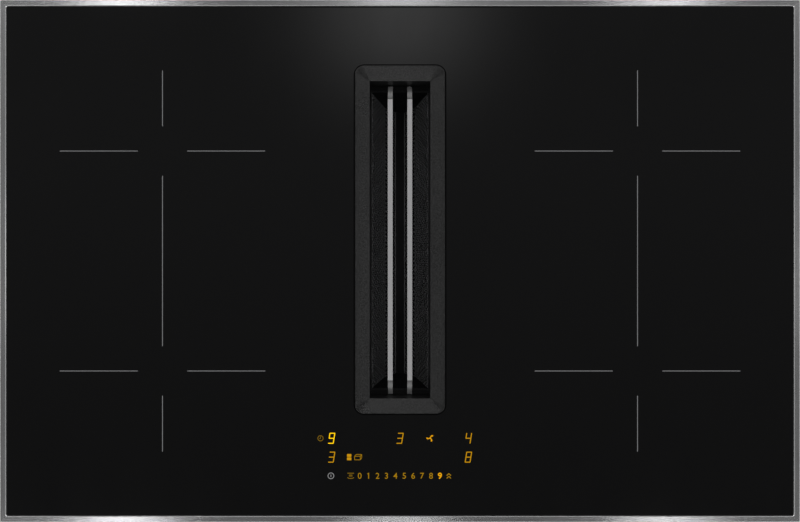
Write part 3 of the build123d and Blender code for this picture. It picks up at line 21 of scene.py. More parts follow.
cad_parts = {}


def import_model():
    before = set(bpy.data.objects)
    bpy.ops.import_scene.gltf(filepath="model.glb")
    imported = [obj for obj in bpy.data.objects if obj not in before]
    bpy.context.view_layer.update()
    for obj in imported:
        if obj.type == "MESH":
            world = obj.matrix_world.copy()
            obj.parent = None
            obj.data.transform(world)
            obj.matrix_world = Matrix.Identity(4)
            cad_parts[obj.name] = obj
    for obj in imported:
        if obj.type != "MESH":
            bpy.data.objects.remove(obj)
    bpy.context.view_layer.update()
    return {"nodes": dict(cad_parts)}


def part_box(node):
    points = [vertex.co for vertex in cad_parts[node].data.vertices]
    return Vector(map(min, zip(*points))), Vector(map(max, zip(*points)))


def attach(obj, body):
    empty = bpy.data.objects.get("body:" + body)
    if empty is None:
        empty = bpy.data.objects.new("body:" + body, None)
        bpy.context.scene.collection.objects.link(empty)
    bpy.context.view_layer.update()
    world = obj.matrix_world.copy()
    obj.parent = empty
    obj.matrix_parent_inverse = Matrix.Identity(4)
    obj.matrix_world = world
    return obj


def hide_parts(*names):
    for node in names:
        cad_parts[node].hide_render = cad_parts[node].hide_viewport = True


LOG = logging.getLogger("cooktop")
MM = 0.001

Colour = tuple[float, float, float]
Place = tuple[float, float, float]
Pair = tuple[float, float]
Stroke = tuple[float, float, float, float]
Number = NodeSocket | float
Tone = NodeSocket | Colour

WHITE: Colour = (1.0, 1.0, 1.0)
CORNERS = ("rear_left", "rear_right", "front_left", "front_right")
TRIM_BAND = 6.5 * MM
INK_HEIGHT = 0.03 * MM
NOISE_BODY: Pair = (0.3, 0.7)  # where most values of a noise lie


class Motif(Enum):
    """Kind of procedural pattern."""

    NOISE = "noise"
    CELL_TONES = "cell_tones"
    CELL_CENTRES = "cell_centres"
    TRACKS = "tracks"


class Facing(Enum):
    """Side that a screw head faces: axis and quarter turns that bring it there from above."""

    DOWN = ("X", 2)
    LEFT = ("Y", -1)
    RIGHT = ("Y", 1)
    FRONT = ("X", 1)
    REAR = ("X", -1)

    def turn(self) -> Matrix:
        """Rotation from above to this side."""
        axis, quarters = self.value
        return Matrix.Rotation(quarters * math.pi / 2, 4, axis)


class Light(Enum):
    """Colour and strength of the light behind a symbol."""

    AMBER = ((0.58, 0.28, 0.0), 1.0)
    YELLOW = ((1.0, 0.60, 0.0), 1.35)
    ORANGE = ((0.84, 0.38, 0.0), 1.0)
    SOFT_AMBER = ((0.35, 0.18, 0.0), 1.0)
    FAINT_AMBER = ((0.20, 0.11, 0.002), 1.0)
    WHITE = ((0.24, 0.24, 0.245), 1.0)


def scaled(colour: Colour, share: float) -> Colour:
    """A colour with every channel times a share."""
    return tuple(channel * share for channel in colour)


def middle(node: str) -> Vector:
    """Middle of a CAD node's box."""
    low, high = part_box(node)
    return (low + high) / 2


# Materials


@dataclass(frozen=True)
class Pattern:
    """A procedural pattern on Object coordinates, from 0 to 1.

    Attributes:
        scale: Cells per metre.
        detail: Octaves of a noise.
        lumps: Strength of a noise's finer octaves.
        stretch: Factor on each coordinate. A small one draws the marks out.
        motif: Kind of pattern.
    """

    scale: float
    detail: float = 3.0
    lumps: float = 0.5
    stretch: Place = (1.0, 1.0, 1.0)
    motif: Motif = Motif.NOISE


BRUSHED_X = Pattern(2600.0, 2.0, stretch=(0.012, 1.0, 1.0))
BRUSHED_Y = Pattern(2600.0, 2.0, stretch=(1.0, 0.012, 1.0))


class NodeGraph:
    """A node tree, with short calls that add and join its nodes."""

    def __init__(self, tree: NodeTree) -> None:
        """Take over the tree of a material or of the world, and empty it."""
        self.tree = tree
        self.tree.nodes.clear()

    def feed(self, target: NodeSocket, value: object) -> None:
        """Link an input to a source, or set it to a constant.

        Args:
            target: Input socket.
            value: Output socket, or a constant. A colour leaves out its alpha.
        """
        if isinstance(value, NodeSocket):
            self.tree.links.new(value, target)
        else:
            target.default_value = (*value, 1.0) if target.type == "RGBA" else value

    def add(self, kind: str, inputs: dict | None = None, **settings: object) -> Node:
        """Add a node.

        Args:
            kind: Blender's name of the node type.
            inputs: Source or constant of each input, by its name or number.
            **settings: Properties of the node, by name.

        Returns:
            The new node.
        """
        node = self.tree.nodes.new(kind)
        for name, value in settings.items():
            setattr(node, name, value)
        for key, value in (inputs or {}).items():
            self.feed(node.inputs[key], value)
        return node

    def maths(self, operation: str, first: Number, second: Number = 0.0) -> NodeSocket:
        """One sum on one or two numbers."""
        return self.add("ShaderNodeMath", {0: first, 1: second}, operation=operation).outputs[0]

    def spread(self, value: NodeSocket, source: Pair, target: Pair) -> NodeSocket:
        """A number moved from one range to another, and kept inside it."""
        ends = zip(("From Min", "From Max", "To Min", "To Max"), (*source, *target), strict=True)
        return self.add("ShaderNodeMapRange", {"Value": value, **dict(ends)}).outputs["Result"]

    def blend(self, factor: NodeSocket, first: Tone, second: Tone) -> NodeSocket:
        """Mix two colours: a factor of 0 gives the first, 1 the second."""
        inputs = {"Factor": factor, 6: first, 7: second}
        return self.add("ShaderNodeMix", inputs, data_type="RGBA").outputs[2]


class NodeSheet(NodeGraph):
    """One material's node tree, with its Principled shader."""

    def __init__(self, name: str) -> None:
        """Start a material with a Principled shader and Object coordinates.

        Args:
            name: Name of the material.
        """
        self.material = bpy.data.materials.new(name)
        self.material.use_nodes = True
        super().__init__(self.material.node_tree)
        self.shader = self.add("ShaderNodeBsdfPrincipled")
        self.add("ShaderNodeOutputMaterial", {"Surface": self.shader.outputs["BSDF"]})
        self.coords = self.add("ShaderNodeTexCoord").outputs["Object"]
        self.read_before: dict[Pattern, NodeSocket] = {}

    def drive(self, **values: object) -> None:
        """Link or set the shader's inputs, by name with underscores for spaces."""
        for name, value in values.items():
            self.feed(self.shader.inputs[name.replace("_", " ")], value)

    def bump(self, height: NodeSocket, depth: float) -> None:
        """Raise the surface by a height from 0 to 1, times a depth."""
        raised = self.add("ShaderNodeBump", {"Height": height, "Distance": depth, "Strength": 1.0})
        self.drive(Normal=raised.outputs["Normal"])

    def read(self, pattern: Pattern) -> NodeSocket:
        """Value of a pattern. A pattern that was read before keeps its nodes.

        Args:
            pattern: Pattern to read.

        Returns:
            Its value at each point.
        """
        if pattern not in self.read_before:
            mapping = {"Vector": self.coords, "Scale": pattern.stretch}
            at = self.add("ShaderNodeMapping", mapping).outputs["Vector"]
            inputs = {"Vector": at, "Scale": pattern.scale}
            match pattern.motif:
                case Motif.NOISE:
                    inputs |= {"Detail": pattern.detail, "Roughness": pattern.lumps}
                    value = self.add("ShaderNodeTexNoise", inputs).outputs["Fac"]
                case Motif.CELL_TONES:
                    tones = self.add("ShaderNodeTexVoronoi", inputs).outputs["Color"]
                    value = self.add("ShaderNodeSeparateColor", {"Color": tones}).outputs["Red"]
                case Motif.CELL_CENTRES:
                    value = self.add("ShaderNodeTexVoronoi", inputs).outputs["Distance"]
                case Motif.TRACKS:
                    inputs["Mortar Size"] = 0.035
                    value = self.add("ShaderNodeTexBrick", inputs).outputs["Fac"]
            self.read_before[pattern] = value
        return self.read_before[pattern]


@dataclass(frozen=True)
class Surface:
    """Finish whose colour, roughness and relief follow patterns.

    Attributes:
        name: Name of the material.
        tint: Colour of the material.
        roughness: Mean roughness.
        specular: Specular level.
        metallic: Share of metal.
        grain: Pattern of the colour.
        grain_span: Range of the grain over which the colour changes.
        shades: Factors on the tint at the ends of that range.
        wear: Pattern of the roughness, where it isn't the grain.
        wear_span: Range of the wear over which the roughness changes.
        swing: How far the roughness goes up and down.
        lift: Pattern of the relief, where it isn't the grain.
        relief: Height of the relief.
    """

    name: str
    tint: Colour
    roughness: float = 0.5
    specular: float = 0.5
    metallic: float = 0.0
    grain: Pattern = Pattern(1000.0)
    grain_span: Pair = (0.0, 1.0)
    shades: Pair = (1.0, 1.0)
    wear: Pattern | None = None
    wear_span: Pair = NOISE_BODY
    swing: float = 0.05
    lift: Pattern | None = None
    relief: float = 0.0

    def make(self) -> Material:
        """Build the material.

        Returns:
            The finished material.
        """
        sheet = NodeSheet(self.name)
        self.paint(sheet)
        return sheet.material

    def paint(self, sheet: NodeSheet) -> None:
        """Drive the shader.

        Args:
            sheet: Node tree of the material.
        """
        wear = sheet.read(self.wear or self.grain)
        ends = (self.roughness - self.swing, self.roughness + self.swing)
        sheet.drive(
            Metallic=self.metallic,
            Specular_IOR_Level=self.specular,
            Base_Color=self.shade(sheet),
            Roughness=sheet.spread(wear, self.wear_span, ends),
        )
        if self.relief:
            sheet.bump(sheet.read(self.lift or self.grain), self.relief)

    def shade(self, sheet: NodeSheet) -> NodeSocket:
        """Colour at each point."""
        factor = sheet.spread(sheet.read(self.grain), self.grain_span, (0.0, 1.0))
        return sheet.blend(factor, *(scaled(self.tint, share) for share in self.shades))


@dataclass(frozen=True)
class TrimSteel(Surface):
    """Brushed steel of a rectangular frame, whose lines turn at the mitred corners.

    Attributes:
        mitre_half: Half width and half depth of the frame's inside, where the mitres start.
        anisotropy: Strength of the streaks along the lines.
        patches: Pattern of faint marks in the roughness.
        patch_swing: How far the marks take the roughness up and down.
    """

    mitre_half: Pair = (0.4, 0.26)
    anisotropy: float = 0.93
    patches: Pattern = Pattern(22.0)
    patch_swing: float = 0.015

    def paint(self, sheet: NodeSheet) -> None:
        """Lay the lines along Y on the side bands, and along X on the front and rear bands.

        Args:
            sheet: Node tree of the material.
        """
        axes = sheet.add("ShaderNodeSeparateXYZ", {"Vector": sheet.coords}).outputs
        past_x, past_y = (
            sheet.maths("SUBTRACT", sheet.maths("ABSOLUTE", axes[axis]), half)
            for axis, half in zip("XY", self.mitre_half, strict=True)
        )
        side = sheet.maths("GREATER_THAN", past_x, past_y)
        front = sheet.maths("LESS_THAN", past_x, past_y)
        tangent = sheet.add("ShaderNodeCombineXYZ", {"X": side, "Y": front}).outputs["Vector"]
        lines = sheet.blend(side, sheet.read(BRUSHED_X), sheet.read(BRUSHED_Y))
        swings = ((lines, self.swing), (sheet.read(self.patches), self.patch_swing))
        worn, marked = (sheet.spread(value, NOISE_BODY, (-swing, swing)) for value, swing in swings)
        sheet.drive(
            Metallic=self.metallic,
            Anisotropic=self.anisotropy,
            Tangent=tangent,
            Base_Color=sheet.blend(lines, *(scaled(self.tint, share) for share in self.shades)),
            Roughness=sheet.maths("ADD", sheet.maths("ADD", worn, self.roughness), marked),
        )
        sheet.bump(lines, self.relief)


@dataclass(frozen=True)
class BarSteel(Surface):
    """Satin steel of the two bars. Their sloping ends lose their metal and are painted lighter
    towards their tips, a painted lift against the shade that deepens down the slope.

    Attributes:
        painted_end_tints: Colours of an end, painted dark at its start and lighter at its tip:
            painted light that evens out the shade down the slope.
        pores: Pattern of fine grain on the painted ends.
        centre_y: Middle of the bars.
        flat_half: Half the length of the brushed part.
        whole_half: Half the length of a bar.
    """

    painted_end_tints: tuple[Colour, Colour] = ((0.08, 0.08, 0.08), (0.42, 0.42, 0.42))
    pores: Pattern = Pattern(1500.0, 2.0)
    centre_y: float = 0.0
    flat_half: float = 142.4 * MM
    whole_half: float = 153.0 * MM

    def shade(self, sheet: NodeSheet) -> NodeSocket:
        """Colour at each point, with painted light on the ends. The ends lose their metal here too.

        Args:
            sheet: Node tree of the material.

        Returns:
            The colour.
        """
        along = sheet.add("ShaderNodeSeparateXYZ", {"Vector": sheet.coords}).outputs["Y"]
        from_middle = sheet.maths("ABSOLUTE", sheet.maths("SUBTRACT", along, self.centre_y))
        ends = sheet.maths("GREATER_THAN", from_middle, self.flat_half)
        slope = sheet.spread(from_middle, (self.flat_half, self.whole_half), (0.0, 1.0))
        pores = sheet.spread(sheet.read(self.pores), NOISE_BODY, (0.85, 1.0))
        # painted lift: each end is painted lighter towards its tip, to even out the shade that
        # deepens down its slope
        painted_lift = sheet.blend(sheet.maths("MULTIPLY", slope, pores), *self.painted_end_tints)
        sheet.drive(Metallic=sheet.spread(ends, (0.0, 1.0), (self.metallic, 0.0)))
        return sheet.blend(ends, super().shade(sheet), painted_lift)


@dataclass(frozen=True)
class MouldedPlastic(Surface):
    """Moulded plastic or paint with a fine pebbled grain."""

    grain: Pattern = Pattern(1400.0, 2.0, 0.6)
    grain_span: Pair = (0.35, 0.65)
    shades: Pair = (0.88, 1.12)
    wear: Pattern = Pattern(14.0)
    swing: float = 0.04
    relief: float = 3.0e-5


@dataclass(frozen=True)
class ZincSheet(Surface):
    """Galvanised or zinc-plated sheet with crystals."""

    metallic: float = 0.85
    grain: Pattern = Pattern(90.0, motif=Motif.CELL_TONES)
    shades: Pair = (0.9, 1.1)
    wear_span: Pair = (0.0, 1.0)
    swing: float = 0.06
    lift: Pattern = Pattern(400.0)
    relief: float = 1.0e-5


@dataclass(frozen=True)
class Rubber(Surface):
    """Matt black rubber or foam."""

    roughness: float = 0.75
    specular: float = 0.25
    grain: Pattern = Pattern(1800.0, 3.0, 0.7)
    shades: Pair = (1.0, 1.8)
    swing: float = 0.08
    relief: float = 4.0e-5


@dataclass(frozen=True)
class CutMetal(Surface):
    """Machined or extruded metal with fine tool lines and dull stains."""

    roughness: float = 0.28
    metallic: float = 1.0
    grain: Pattern = Pattern(45.0)
    grain_span: Pair = (0.35, 0.7)
    shades: Pair = (1.0, 0.82)
    wear: Pattern = Pattern(1500.0, 2.0, stretch=(1.0, 0.04, 1.0))
    swing: float = 0.06
    lift: Pattern = wear
    relief: float = 5.0e-6


@dataclass(frozen=True)
class Winding(Surface):
    """Coil of twisted copper strands under varnish."""

    roughness: float = 0.4
    metallic: float = 0.8
    grain: Pattern = Pattern(900.0, 4.0, 0.7)
    shades: Pair = (0.45, 1.0)
    swing: float = 0.1
    relief: float = 1.5e-4
    varnish: Pattern = Pattern(60.0)

    def shade(self, sheet: NodeSheet) -> NodeSocket:
        """Colour of the strands, darker where the varnish is thick."""
        varnish = sheet.spread(sheet.read(self.varnish), (0.4, 0.8), (0.0, 0.3))
        return sheet.blend(varnish, super().shade(sheet), scaled(self.tint, self.shades[0]))


@dataclass(frozen=True)
class Ceramic(Surface):
    """Sintered ferrite, mica or ceramic with clouds and specks of a second colour."""

    roughness: float = 0.6
    speck: Colour = WHITE
    wear: Pattern = Pattern(35.0, 4.0)
    lift: Pattern = Pattern(500.0, motif=Motif.CELL_CENTRES)
    relief: float = 2.0e-5

    def shade(self, sheet: NodeSheet) -> NodeSocket:
        """Colour at each point, from the clouds and then from the specks.

        Args:
            sheet: Node tree of the material.

        Returns:
            The colour.
        """
        clouds = sheet.spread(sheet.read(self.wear), NOISE_BODY, (0.0, 1.0))
        specks = sheet.spread(sheet.read(self.lift), (0.0, 0.6), (0.6, 0.0))
        return sheet.blend(specks, self.tint, sheet.blend(clouds, self.tint, self.speck))


@dataclass(frozen=True)
class CircuitBoard(Surface):
    """Green solder mask over copper tracks, with bright pads."""

    roughness: float = 0.335
    grain: Pattern = Pattern(60.0, motif=Motif.TRACKS)
    wear: Pattern = Pattern(220.0, motif=Motif.CELL_CENTRES)
    wear_span: Pair = (0.1, 0.3)
    swing: float = 0.085
    relief: float = 3.0e-5
    track: Colour = (0.022, 0.140, 0.055)
    pad: Colour = (0.70, 0.66, 0.55)
    pad_size: float = 0.16

    def shade(self, sheet: NodeSheet) -> NodeSocket:
        """Colour of the mask, over tracks and round pads.

        Args:
            sheet: Node tree of the material.

        Returns:
            The colour.
        """
        tracks = sheet.blend(sheet.read(self.grain), self.tint, self.track)
        pads = sheet.maths("LESS_THAN", sheet.read(self.wear), self.pad_size)
        return sheet.blend(pads, tracks, self.pad)


@dataclass(frozen=True)
class LitSymbol(Surface):
    """Light that shines through the glass.

    Attributes:
        glow: Colour of the light.
        strength: Strength of the light.
        haze: Share of the light that comes through where the haze is thickest.
    """

    roughness: float = 0.4
    specular: float = 0.1
    grain: Pattern = Pattern(900.0, 2.0)
    glow: Colour = WHITE
    strength: float = 1.0
    haze: float = 0.92

    def paint(self, sheet: NodeSheet) -> None:
        """Drive the shader, with a faint haze in the light.

        Args:
            sheet: Node tree of the material.
        """
        hazy = scaled(self.glow, self.haze)
        sheet.drive(
            Base_Color=self.tint,
            Roughness=self.roughness,
            Specular_IOR_Level=self.specular,
            Emission_Color=sheet.blend(sheet.read(self.grain), hazy, self.glow),
            Emission_Strength=self.strength,
        )


@dataclass(frozen=True)
class FloorPaper(Surface):
    """Pale paper that glows far off, so that the floor runs into the white backdrop.

    Attributes:
        fade: Distances from the middle where the glow starts and where it is full.
        far_glow: Full strength of the glow.
    """

    fade: Pair = (3.0, 8.0)
    far_glow: float = 0.34

    def paint(self, sheet: NodeSheet) -> None:
        """Drive the shader, and add the glow that only the camera and reflections see.

        Args:
            sheet: Node tree of the material.
        """
        super().paint(sheet)
        away = sheet.add("ShaderNodeVectorMath", {0: sheet.coords}, operation="LENGTH")
        far = sheet.spread(away.outputs["Value"], self.fade, (0.0, self.far_glow))
        path = sheet.add("ShaderNodeLightPath").outputs
        seen = sheet.maths("MAXIMUM", path["Is Camera Ray"], path["Is Glossy Ray"])
        sheet.drive(Emission_Color=WHITE, Emission_Strength=sheet.maths("MULTIPLY", seen, far))


# Bench work


class Bench:
    """Modelling calls that the sub-assemblies share."""

    @staticmethod
    def pick(*pieces: Object) -> None:
        """Select pieces alone in object mode, with the first one active.

        Args:
            *pieces: Objects to select. With none, nothing stays selected.
        """
        if bpy.context.object and bpy.context.object.mode != "OBJECT":
            bpy.ops.object.mode_set(mode="OBJECT")
        bpy.ops.object.select_all(action="DESELECT")
        for piece in pieces:
            piece.select_set(True)
            bpy.context.view_layer.objects.active = pieces[0]

    @staticmethod
    @contextmanager
    def editing(piece: Object, whole: bool = False) -> Iterator[None]:
        """Edit mode on one piece.

        Args:
            piece: Object to edit.
            whole: Whether all of it is selected, or nothing.

        Yields:
            Nothing, while edit mode lasts.
        """
        Bench.pick(piece)
        bpy.ops.object.mode_set(mode="EDIT")
        bpy.ops.mesh.select_all(action="SELECT" if whole else "DESELECT")
        yield
        bpy.ops.object.mode_set(mode="OBJECT")

    @staticmethod
    def pick_faces(piece: Object, facing: float) -> None:
        """Select the faces of the piece in edit mode that face up or down.

        Args:
            piece: Object in edit mode.
            facing: Least share of a normal that points up, or down where it is negative.
        """
        bpy.ops.mesh.select_mode(type="FACE")
        mesh = bmesh.from_edit_mesh(piece.data)
        for face in mesh.faces:
            face.select_set(face.normal.z / facing > 1.0)
        bmesh.update_edit_mesh(piece.data)

    @staticmethod
    def settle(piece: Object, name: str) -> Object:
        """Put a piece's place into its mesh and name it.

        Args:
            piece: Finished object.
            name: Name of the piece.

        Returns:
            The same object, at the origin and unscaled.
        """
        Bench.pick(piece)
        bpy.ops.object.transform_apply(location=True, rotation=True, scale=True)
        piece.name = piece.data.name = name
        return piece

    @staticmethod
    def fresh(primitive: Callable[..., set[str]], **options: object) -> Object:
        """Add a primitive, with its place in its mesh.

        Args:
            primitive: Blender's call that adds it.
            **options: Options of the call.

        Returns:
            The new object.
        """
        Bench.pick()
        primitive(**options)
        return Bench.settle(bpy.context.object, "shape")

    @staticmethod
    def rod(sides: int, radius: float, length: float, z: float) -> Object:
        """An upright bar with flat sides, on the Z axis and about a height."""
        shape = {"vertices": sides, "radius": radius, "depth": length, "location": (0.0, 0.0, z)}
        return Bench.fresh(bpy.ops.mesh.primitive_cylinder_add, **shape)

    @staticmethod
    def stroke(start: Pair, end: Pair, width: float, base: float, corner: float = 0.4) -> Object:
        """A thin stroke of ink or light from one point to another.

        Args:
            start: First end in plan.
            end: Second end in plan.
            width: Width of the stroke.
            base: Height of the glass under it.
            corner: Bevel of its corners, as a share of its width.

        Returns:
            The stroke.
        """
        first, last = Vector(start), Vector(end)
        run = last - first
        size = (run.length, width, INK_HEIGHT)
        bar = Bench.fresh(bpy.ops.mesh.primitive_cube_add, size=1.0, scale=size)
        with Bench.editing(bar):
            bpy.ops.mesh.select_mode(type="EDGE")
            mesh = bmesh.from_edit_mesh(bar.data)
            for edge in mesh.edges:
                rise = edge.verts[0].co - edge.verts[1].co
                edge.select_set(abs(rise.normalized().z) > 0.9)
            bmesh.update_edit_mesh(bar.data)
            bpy.ops.mesh.bevel(offset=width * corner, segments=2)
        shift = Matrix.Translation((*(first + last) / 2, base + INK_HEIGHT / 2))
        bar.data.transform(shift @ Matrix.Rotation(math.atan2(run.y, run.x), 4, "Z"))
        return bar

    @staticmethod
    def raise_frame(face: Object, width: float, height: float) -> None:
        """Turn a flat face into an upright frame.

        Args:
            face: Object with one face.
            width: Width of the frame, from the face's edge inwards.
            height: Height of the frame.
        """
        with Bench.editing(face, whole=True):
            bpy.ops.mesh.inset(thickness=width)
            bpy.ops.mesh.delete(type="FACE")
            bpy.ops.mesh.select_all(action="SELECT")
            bpy.ops.mesh.extrude_region_move(TRANSFORM_OT_translate={"value": (0.0, 0.0, height)})
        Bench.face_out(face)

    @staticmethod
    def face_out(piece: Object) -> None:
        """Turn all faces of a piece outwards."""
        with Bench.editing(piece, whole=True):
            bpy.ops.mesh.normals_make_consistent(inside=False)

    @staticmethod
    def modify(piece: Object, kind: str, **settings: object) -> None:
        """Apply a new modifier to a piece.

        Args:
            piece: Object to change.
            kind: Blender's name of the modifier type.
            **settings: Properties of the modifier, by name.
        """
        modifier = piece.modifiers.new(kind.lower(), kind)
        for name, value in settings.items():
            setattr(modifier, name, value)
        Bench.pick(piece)
        bpy.ops.object.modifier_apply(modifier=modifier.name)

    @staticmethod
    def smooth(piece: Object, degrees: float) -> None:
        """Shade a piece smooth where its faces meet at less than an angle."""
        Bench.pick(piece)
        bpy.ops.object.shade_smooth_by_angle(angle=math.radians(degrees))

    @staticmethod
    def weld(pieces: Sequence[Object], name: str) -> Object:
        """Join several objects to one.

        Args:
            pieces: Objects to join.
            name: Name of the result.

        Returns:
            The joined object.
        """
        Bench.pick(*pieces)
        if len(pieces) > 1:
            bpy.ops.object.join()
        return Bench.settle(bpy.context.object, name)

    @staticmethod
    def copies(pattern: Object, places: Iterable[Matrix], name: str) -> Object:
        """Copy a pattern to several places, each with its own mesh, and join the copies.

        Args:
            pattern: Object that is copied and then removed.
            places: Transform of each copy.
            name: Name of the joined copies.

        Returns:
            The joined object.
        """
        made = []
        for place in places:
            copy = pattern.copy()
            copy.data = pattern.data.copy()
            copy.data.transform(place)
            bpy.context.scene.collection.objects.link(copy)
            made.append(copy)
        bpy.data.objects.remove(pattern)
        return Bench.weld(made, name)

    @staticmethod
    def dress(piece: Object, material: Material, slot: str, body: str) -> None:
        """Give a new piece its material and body, and report it.

        Args:
            piece: Finished object.
            material: Its finish.
            slot: Not used.
            body: CAD body that carries it.
        """
        piece.data.materials.clear()
        piece.data.materials.append(material)
        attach(piece, body)
        LOG.info("%s: %d faces, rides on %s", piece.name, len(piece.data.polygons), body)


# Sub-assemblies


@dataclass
class GlassJoint:
    """Black bead that fills the joint between the trim and the glass."""

    clearance: float = 0.03 * MM
    below_trim: float = 0.25 * MM
    edge_round: float = 0.25

    def build(self) -> None:
        """Draw the bead's frame and raise it from the edge seal."""
        trim, glass, seal = (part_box(node)[1] for node in ("trim_frame", "glass_top", "edge_seal"))
        outer_x, outer_y = (side - TRIM_BAND - self.clearance for side in (trim.x, trim.y))
        width = outer_x - glass.x - self.clearance
        at = (0.0, 0.0, seal.z)
        bead = Bench.fresh(bpy.ops.mesh.primitive_plane_add, size=2.0, location=at)
        bpy.ops.transform.resize(value=(outer_x, outer_y, 1.0))
        Bench.settle(bead, "joint_bead")
        Bench.raise_frame(bead, width, trim.z - self.below_trim - seal.z)
        edge = width * self.edge_round
        Bench.modify(bead, "BEVEL", width=edge, segments=2, limit_method="ANGLE")
        rubber = Rubber("bead_rubber", (0.002, 0.002, 0.002), 0.8)
        Bench.dress(bead, rubber.make(), "seal_black", "root")


@dataclass
class ZoneMarks:
    """Printed crosses that show the four cooking zones."""

    line_width: float = 0.74 * MM
    line_corner: float = 0.3
    arm_start: float = 24.9 * MM
    side_reach: float = 103.5 * MM
    row_reach: float = 81.2 * MM

    def build(self) -> None:
        """Print the strokes of all four crosses."""
        lines = []
        for side in ("left", "right"):
            rear, front = (middle(f"coil_{row}_{side}") for row in ("rear", "front"))
            rows = (
                (rear.y + self.arm_start, rear.y + self.row_reach),
                (front.y + self.arm_start, rear.y - self.arm_start),
                (front.y - self.row_reach, front.y - self.arm_start),
            )
            lines += [((rear.x, start), (rear.x, end)) for start, end in rows]
            reaches = [(turn * self.arm_start, turn * self.side_reach) for turn in (-1, 1)]
            lines += [
                ((zone.x + start, zone.y), (zone.x + end, zone.y))
                for zone in (rear, front)
                for start, end in reaches
            ]
        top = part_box("glass_top")[1].z
        strokes = [Bench.stroke(*line, self.line_width, top, self.line_corner) for line in lines]
        dots = Pattern(2500.0, 2.0)
        tint = (0.16, 0.16, 0.165)
        ink = Surface("zone_ink_grey", tint, 0.47, 0.3, grain=dots, shades=(0.9, 1.0))
        Bench.dress(Bench.weld(strokes, "zone_marks"), ink.make(), "ceramic_glass", "root")


@dataclass(frozen=True)
class Sketch:
    """Symbol drawn with strokes, in millimetres from its middle.

    Attributes:
        width: Width of every stroke.
        strokes: X and Y of each stroke's first end, and of its second end.
        ring: Radius and width of a ring round the middle, where there is one.
        corner: Bevel of a stroke's corners, as a share of its width.
    """

    width: float
    strokes: tuple[Stroke, ...]
    ring: Pair | None = None
    corner: float = 0.4


SKETCHES = {
    "timer": Sketch(0.6, ((0.0, -0.2, 0.0, 1.9), (-1.1, -0.3, 0.3, -0.3)), (3.0, 0.7)),
    "power": Sketch(0.8, ((0.0, -1.3, 0.0, 1.3),), (3.3, 0.75)),
    "joined_zones": Sketch(2.9, ((-2.2, -1.7, 2.2, -1.7), (-2.2, 1.7, 2.2, 1.7)), corner=0.172),
    "pan": Sketch(
        0.6,
        (
            (-3.6, 0.8, -2.0, 2.7),
            (-2.0, 2.7, 3.6, 2.7),
            (3.6, 2.7, 3.6, -0.6),
            (3.6, -0.6, 2.2, -2.7),
            (2.2, -2.7, -3.6, -2.7),
            (-3.6, -2.7, -3.6, 0.8),
            (-3.6, 0.9, 2.2, 0.9),
            (2.2, 0.9, 2.2, -2.7),
            (2.2, 0.9, 3.5, 2.6),
        ),
    ),
    "keep_warm": Sketch(
        0.75,
        (
            (-3.4, 2.6, 3.4, 2.6),
            (-1.8, 0.8, 1.8, 0.8),
            (-1.8, -0.3, 1.8, -0.3),
            (-3.3, -1.6, -2.0, -2.6),
            (-2.0, -2.6, 2.0, -2.6),
            (2.0, -2.6, 3.3, -1.6),
        ),
    ),
    "boost": Sketch(
        0.95,
        (
            (-2.2, -2.7, 0.0, -0.5),
            (2.2, -2.7, 0.0, -0.5),
            (-2.2, 0.1, 0.0, 2.3),
            (2.2, 0.1, 0.0, 2.3),
        ),
    ),
}


